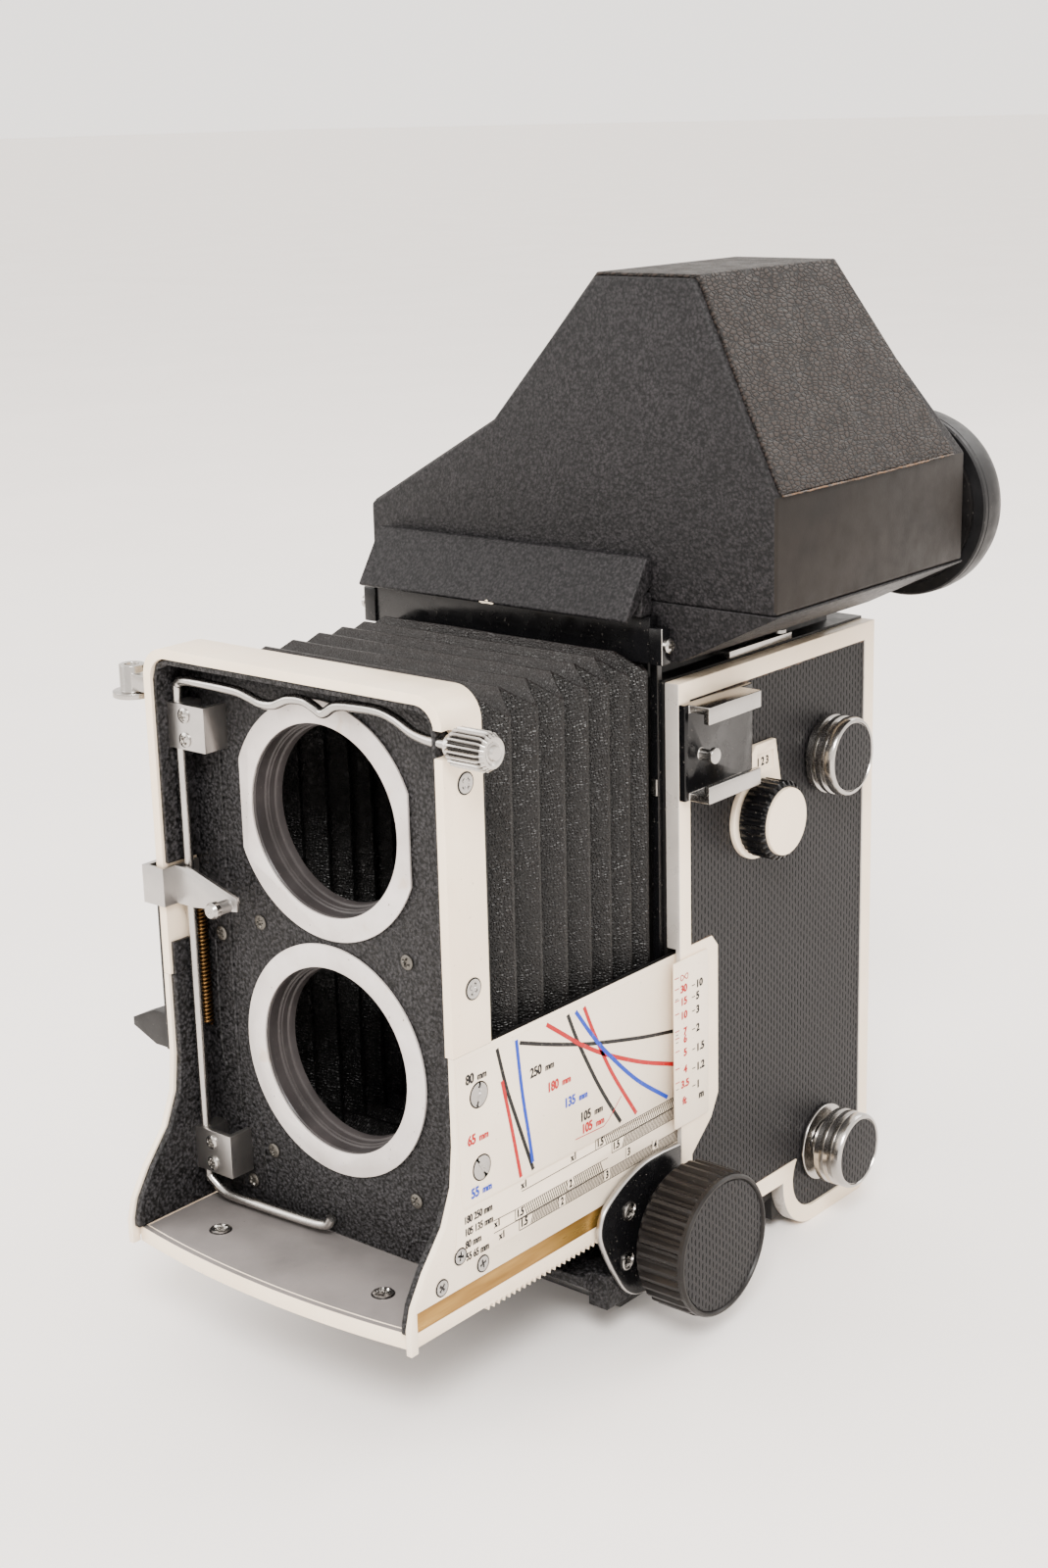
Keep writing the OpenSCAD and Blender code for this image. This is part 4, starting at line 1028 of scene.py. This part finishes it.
black.line([(-96.6, 40.6), (-89.0, 40.5)], 0.18)
for place in ((-64.2, 46.5), (-58.9, 44.0), (-89.8, 41.1), (-88.7, 38.6)):
    black.text("1.5", place, 2.3, 0.8, 0.05)
TAGS = [("3", -54.3, 41.0), ("4", -45.2, 39.2), ("2", -73.6, 41.2), ("2", -76.4, 38.4), ("3", -61.7, 38.6)]
patch = Print(INK_X + 0.005)
for words, y, z in TAGS:
    patch.line([(y - 0.2, z + 0.8), (y + 1.7, z + 0.8)], 2.1)
patch.done("chart_tags", M["print"], "standard", "printed_plate")
tag_ink = Print(INK_X + 0.03)
for words, y, z in TAGS:
    tag_ink.text(words, (y + 0.2, z), 2.3, 0.85, 0.05)
    tag_ink.line([(y - 0.3, z - 0.4), (y - 0.3, z + 2.0)], 0.12)
tag_ink.done("chart_tag_numbers", M["ink_black"], "standard", "printed_plate")
black.done("chart_lines_black", M["ink_black"], "standard", "printed_plate")
red.done("chart_lines_red", M["ink_red"], "standard", "printed_plate")
blue.done("chart_lines_blue", M["ink_blue"], "standard", "printed_plate")

# ---- bail wire, release and spring ----

WIRE_R = 1.05
UPPER_ARM = [
    (-35, -101.8, 139), (-34.6, -101.8, 140.6), (-33.2, -101.8, 141.5), (-28, -101.7, 141.6),
    (-18.5, -101.6, 141.4), (-14.5, -101.5, 140.6), (-11.5, -101.4, 139.8), (-8, -101.4, 140),
    (-4, -101.4, 141.6), (0, -101.4, 141.9), (2.8, -101.4, 141), (5.2, -101.4, 140.2),
    (8.5, -101.4, 142), (13, -101.5, 142.6), (20, -101.8, 142.8), (25, -102.6, 142), (30, -103.8, 140.6),
    (34, -104.6, 140.1), (37, -104.8, 140), (40.3, -104.8, 140)]
LOWER_ARM = [
    (-35, -101.8, 35.4), (-34.6, -101.8, 33.8), (-33.4, -101.6, 32.6), (-31.8, -101.4, 31.4),
    (-29.6, -101.2, 30.6), (-24, -100.8, 30.4), (-15, -100.4, 30.4), (-6, -100, 30.6),
    (-2.6, -99.8, 31.2), (-1.4, -99.6, 32.8)]
wire = bmesh.new()
route = LOWER_ARM[::-1] + [(-35, -101.8, 60), (-35, -101.8, 90), (-35, -101.8, 120)] + UPPER_ARM
tube(wire, smooth_path(route, 6), WIRE_R, 20)
settle(new_object("bail_wire_bent", wire, M["chrome"], 60), "bail", ["bail_wire"])

STUD = (0, -104.8, 140)
knob_profile = [
    (40.0, 0.0), (40.0, 2.2), (41.3, 2.2), (41.5, 3.3, 0.45), (42.0, 3.75, 0.6), (48.8, 3.75, 0.6),
    (49.6, 3.3, 0.3), (50.2, 2.9), (50.25, 2.3), (50.0, 1.9), (50.1, 1.5), (50.9, 1.2), (51.0, 0.0)]
settle(turned("bail_knob_knurled", knob_profile, STUD, X_AXIS, M["knurl"], ribs=20), "bail_screw",
       ["bail_knob"])

refine("release_slider", M["bright"], 0.28, 2,
       [(M["satin"], lambda c, n: c.z < 94 and c.x < -41)])
pin_profile = [
    (-3.0, 0.0), (-3.0, 1.3), (2.2, 1.3), (2.3, 1.75), (3.5, 1.75), (4.1, 1.35), (4.2, 0.6), (3.9, 0.0)]
pin = turned("release_pin", pin_profile, (-21.6, -105, 97.3), -Y_AXIS, M["chrome"], 40)
settle(pin, "release")

SPRING_X, SPRING_Y, SPRING_LOW, SPRING_HIGH = -35.6, -99.1, 67.0, 93.0
SPRING_R, WIRE_HALF, TURNS, TURN_STEPS, RELEASE_TRAVEL = 1.2, 0.28, 30, 16, 6.0
rise = SPRING_HIGH - SPRING_LOW - 0.6
coil = []
for i in range(TURN_STEPS * TURNS + 1):
    a = 2 * math.pi * i / TURN_STEPS
    coil.append((SPRING_X + SPRING_R * math.cos(a), SPRING_Y + SPRING_R * math.sin(a),
                 SPRING_LOW + 0.3 + rise * i / (TURN_STEPS * TURNS)))
spring = bmesh.new()
tube(spring, coil, WIRE_HALF, 7)
spring = new_object("release_spring_coil", spring, M["spring"], 60)
settle(spring, "standard", ["release_spring"])
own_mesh(spring)

# ---- knobs ----


def cap(name, x_in, thick, radius, at, side, mat, body, dome=0.25):
    """A slightly domed disc let into a knob's face."""
    face = x_in + thick
    profile = [(x_in, 0.0), (x_in, radius), (face, radius - 0.1)]
    radii = [radius * (1 - i / 8) for i in range(1, 9)]
    profile += [(face + dome * (1 - (r / radius) ** 2), r) for r in radii]
    return settle(turned(name, profile, (0,) + at, X_AXIS * side, mat), body)


SHAFT = (-43.5, 21.4)
focus_profile = [
    (44.3, 0.0), (44.3, 13.6), (44.7, 14.6), (45.2, 15.0, 0.5), (45.7, 15.5, 0.9), (54.6, 15.5, 0.9),
    (55.2, 15.35, 0.6), (55.5, 15.25), (56.3, 15.2), (56.75, 14.8), (56.75, 14.35), (56.4, 14.1),
    (56.1, 14.0), (56.1, 0.0)]
for side, tag in ((1, "right"), (-1, "left")):
    knob = turned("focus_knob_" + tag + "_ribbed", focus_profile, (0,) + SHAFT, X_AXIS * side, M["plastic"],
                  ribs=34, squareness=3.0)
    settle(knob, "focus", ["focus_knob_" + tag])
    cap("focus_cap_" + tag, 56.0, 0.35, 13.95, SHAFT, side, M["leather_side"], "focus", 0.3)
refine("focus_shaft", M["steel"], 0.1, 1)

LOCK = (-9.5, 103.5)
lock_profile = [
    (33.9, 0.0), (33.9, 2.95), (34.9, 2.95), (34.9, 2.0), (42.3, 2.0), (42.3, 8.0), (42.6, 8.45, 0.5),
    (47.9, 8.5, 0.75), (48.5, 7.9, 0.35), (48.6, 7.5), (48.3, 7.35), (48.3, 0.0)]
settle(turned("lock_dial_ribbed", lock_profile, (0,) + LOCK, X_AXIS, M["gloss"], ribs=30), "lens_lock",
       ["lock_dial"])
cap("lock_dial_disc", 48.3, 0.8, 7.3, LOCK, 1, M["cream"], "lens_lock", 0.35)

FILM_R, SPOOL_Y = 8.7, 17.8


def film_knob(name, x0, z, shaft_rings):
    """A chrome film knob with two turned grooves and a leather cap, its face towards +X."""
    head = [(0, 8.2), (0.3, FILM_R)]
    for start in (1.5, 3.7):
        for along, deep in ((0, 0), (0.25, 0.6), (0.55, 0.9), (0.85, 0.6), (1.1, 0)):
            head.append((start + along, FILM_R - deep))
    head += [(6.3, FILM_R), (6.8, 8.4), (7.0, 8.0), (7.0, 7.75), (6.7, 7.6), (6.7, 0.0)]
    profile = shaft_rings + [(x0 + along, radius) for along, radius in head]
    body = "knob_upper" if z > 60 else "knob_lower"
    settle(turned(name + "_turned", profile, (0, SPOOL_Y, z), X_AXIS, M["chrome"]), body, [name])
    cap(name + "_cap", x0 + 6.6, 0.25, 7.55, (SPOOL_Y, z), 1, M["leather_side"], body, 0.2)


SPINDLE = [(26.8, 0.0), (26.8, 2.2), (27.1, 2.4)]
film_knob("film_knob_upper", 41.2, 111.2, SPINDLE + [(41.2, 2.4)])
film_knob("film_knob_lower", 44.2, 18.4, SPINDLE + [(42.2, 2.4), (42.2, 5.5), (44.2, 5.5)])
refine("spool_upper", M["plastic"], 0.25)
refine("spool_lower", M["plastic"], 0.25)
refine("advance_crank", M["bright"], 0.25)
refine("crank_grip", M["chrome"], 0.25)

# ---- rear door ----

refine("rear_door", M["satin"], 0.5, 3)
refine("door_latch", M["bright"], 0.3)
refine("pressure_plate", M["satin"], 0.3)
DOOR_BACK = 38.2
panel = [
    (-33.5, 21), (-31.5, 19), (31.5, 19), (33.5, 21), (33.5, 128), (31.5, 130), (-31.5, 130), (-33.5, 128)]
hide = plate("door_leather", [panel], DOOR_BACK - 0.05, DOOR_BACK + 0.6, 1, M["leather_door"], 0.25)
settle(hide, "door")

# ---- finder ----


def on_band(center, normal):
    """The smooth faces of the finder: its right side below the leather, and its rear."""
    return normal.y > 0.3 or (normal.x > 0.7 and center.z < 177.5)


refine("finder_housing", M["front"], 0.9, 3, [(M["band"], on_band)], False)
refine("finder_base", M["front"], 0.5)
refine("finder_back", M["satin"], 0.5)
refine("finder_mirrors", M["mirror"], 0.1, 1)
refine("finder_latch", M["chrome"], 0.3)
HIDE = [(65.2, 177.4), (46.2, 217.9), (21.7, 217.9), (-5.3, 187.75), (-40.3, 168.05)]
HIDE_INNER = [(64.4, 177.4), (45.4, 217.2), (22.1, 217.2), (-5.0, 186.9), (-40.3, 167.2)]
HIDE_FRONT, HIDE_REAR = -36.6, 29.0


def hide_end(z):
    """Where the leather ends behind, at height z: it follows the rear bevel."""
    return HIDE_REAR if z < 177 else HIDE_REAR - (z - 177) * 23 / 53


hide_bm = bmesh.new()
ROWS = 40
layers = []
# the outer and the inner face of the leather, as rows of points from front to rear
for line in (HIDE, HIDE_INNER):
    sheet = []
    for (xa, za), (xb, zb) in zip(line, line[1:]):
        sheet += [(xa + (xb - xa) * i / 12, za + (zb - za) * i / 12) for i in range(12)]
    sheet.append(line[-1])
    rows = []
    for x, z in sheet:
        reach = (hide_end(z) - HIDE_FRONT) / ROWS
        places = [Vector((x, HIDE_FRONT + reach * k, z)) for k in range(ROWS + 1)]
        rows.append([hide_bm.verts.new(p * MM) for p in places])
    layers.append(rows)
outer_rows, inner_rows = layers
count = len(outer_rows)
for i in range(count - 1):
    for k in range(ROWS):
        for rows, flip in ((outer_rows, False), (inner_rows, True)):
            quad = [rows[i][k], rows[i][k + 1], rows[i + 1][k + 1], rows[i + 1][k]]
            hide_bm.faces.new(quad[::-1] if flip else quad)
for i in range(count - 1):
    for k in (0, ROWS):
        near, far = (outer_rows[i][k], inner_rows[i][k]), (outer_rows[i + 1][k], inner_rows[i + 1][k])
        hide_bm.faces.new((near[0], far[0], far[1], near[1]))
for k in range(ROWS):
    for i in (0, count - 1):
        near, far = (outer_rows[i][k], inner_rows[i][k]), (outer_rows[i][k + 1], inner_rows[i][k + 1])
        hide_bm.faces.new((near[0], near[1], far[1], far[0]))
hide = rounded(new_object("finder_hide", hide_bm, M["leather_finder"], 50), 0.28, 2)
settle(hide, "finder", ["finder_leather"])
glue_line("finder_glue", [[(65.3, -36.4, 177.2), (65.35, -10, 177.1), (65.3, 27.8, 177.3)],
                          [(-40.6, -36.4, 167.0), (-40.6, 27.5, 167.0)]], "finder", 0.2)

EYE = (47.5, 0, 164)
tube_profile = [
    (36.5, 13.7), (36.5, 17.3), (37.6, 17.4), (42.0, 17.4), (42.0, 16.6), (41.2, 16.2), (41.0, 14.2),
    (40.7, 13.7)]
ring = turned("eyepiece_ring", tube_profile, EYE, Y_AXIS, M["satin"])
settle(ring, "finder", ["eyepiece_tube"])
cup_profile = [
    (37.5, 17.5), (37.5, 19.9), (37.9, 20.25), (38.8, 20.3), (39.0, 20.0), (39.3, 20.3), (41.5, 20.35),
    (44.0, 20.1), (46.0, 19.4), (47.1, 18.1), (47.5, 16.4), (47.2, 15.1), (46.5, 14.7), (44.6, 16.0),
    (42.7, 17.5)]
cup = turned("eyecup_rubber", cup_profile, EYE, Y_AXIS, M["rubber"])
settle(cup, "finder", ["eyecup"])
LENS_R, LENS_FACE, LENS_BULGE = 13.4, 40.3, 1.3
lens_radii = [LENS_R * (1 - i / 10) for i in range(11)]
lens_profile = [(37.6, 0.0), (37.6, LENS_R)]
lens_profile += [(LENS_FACE - LENS_BULGE * (r / LENS_R) ** 2, r) for r in lens_radii]
lens = turned("eyepiece_glass", lens_profile, EYE, Y_AXIS, M["glass"])
settle(lens, "finder", ["eyepiece_lens"])
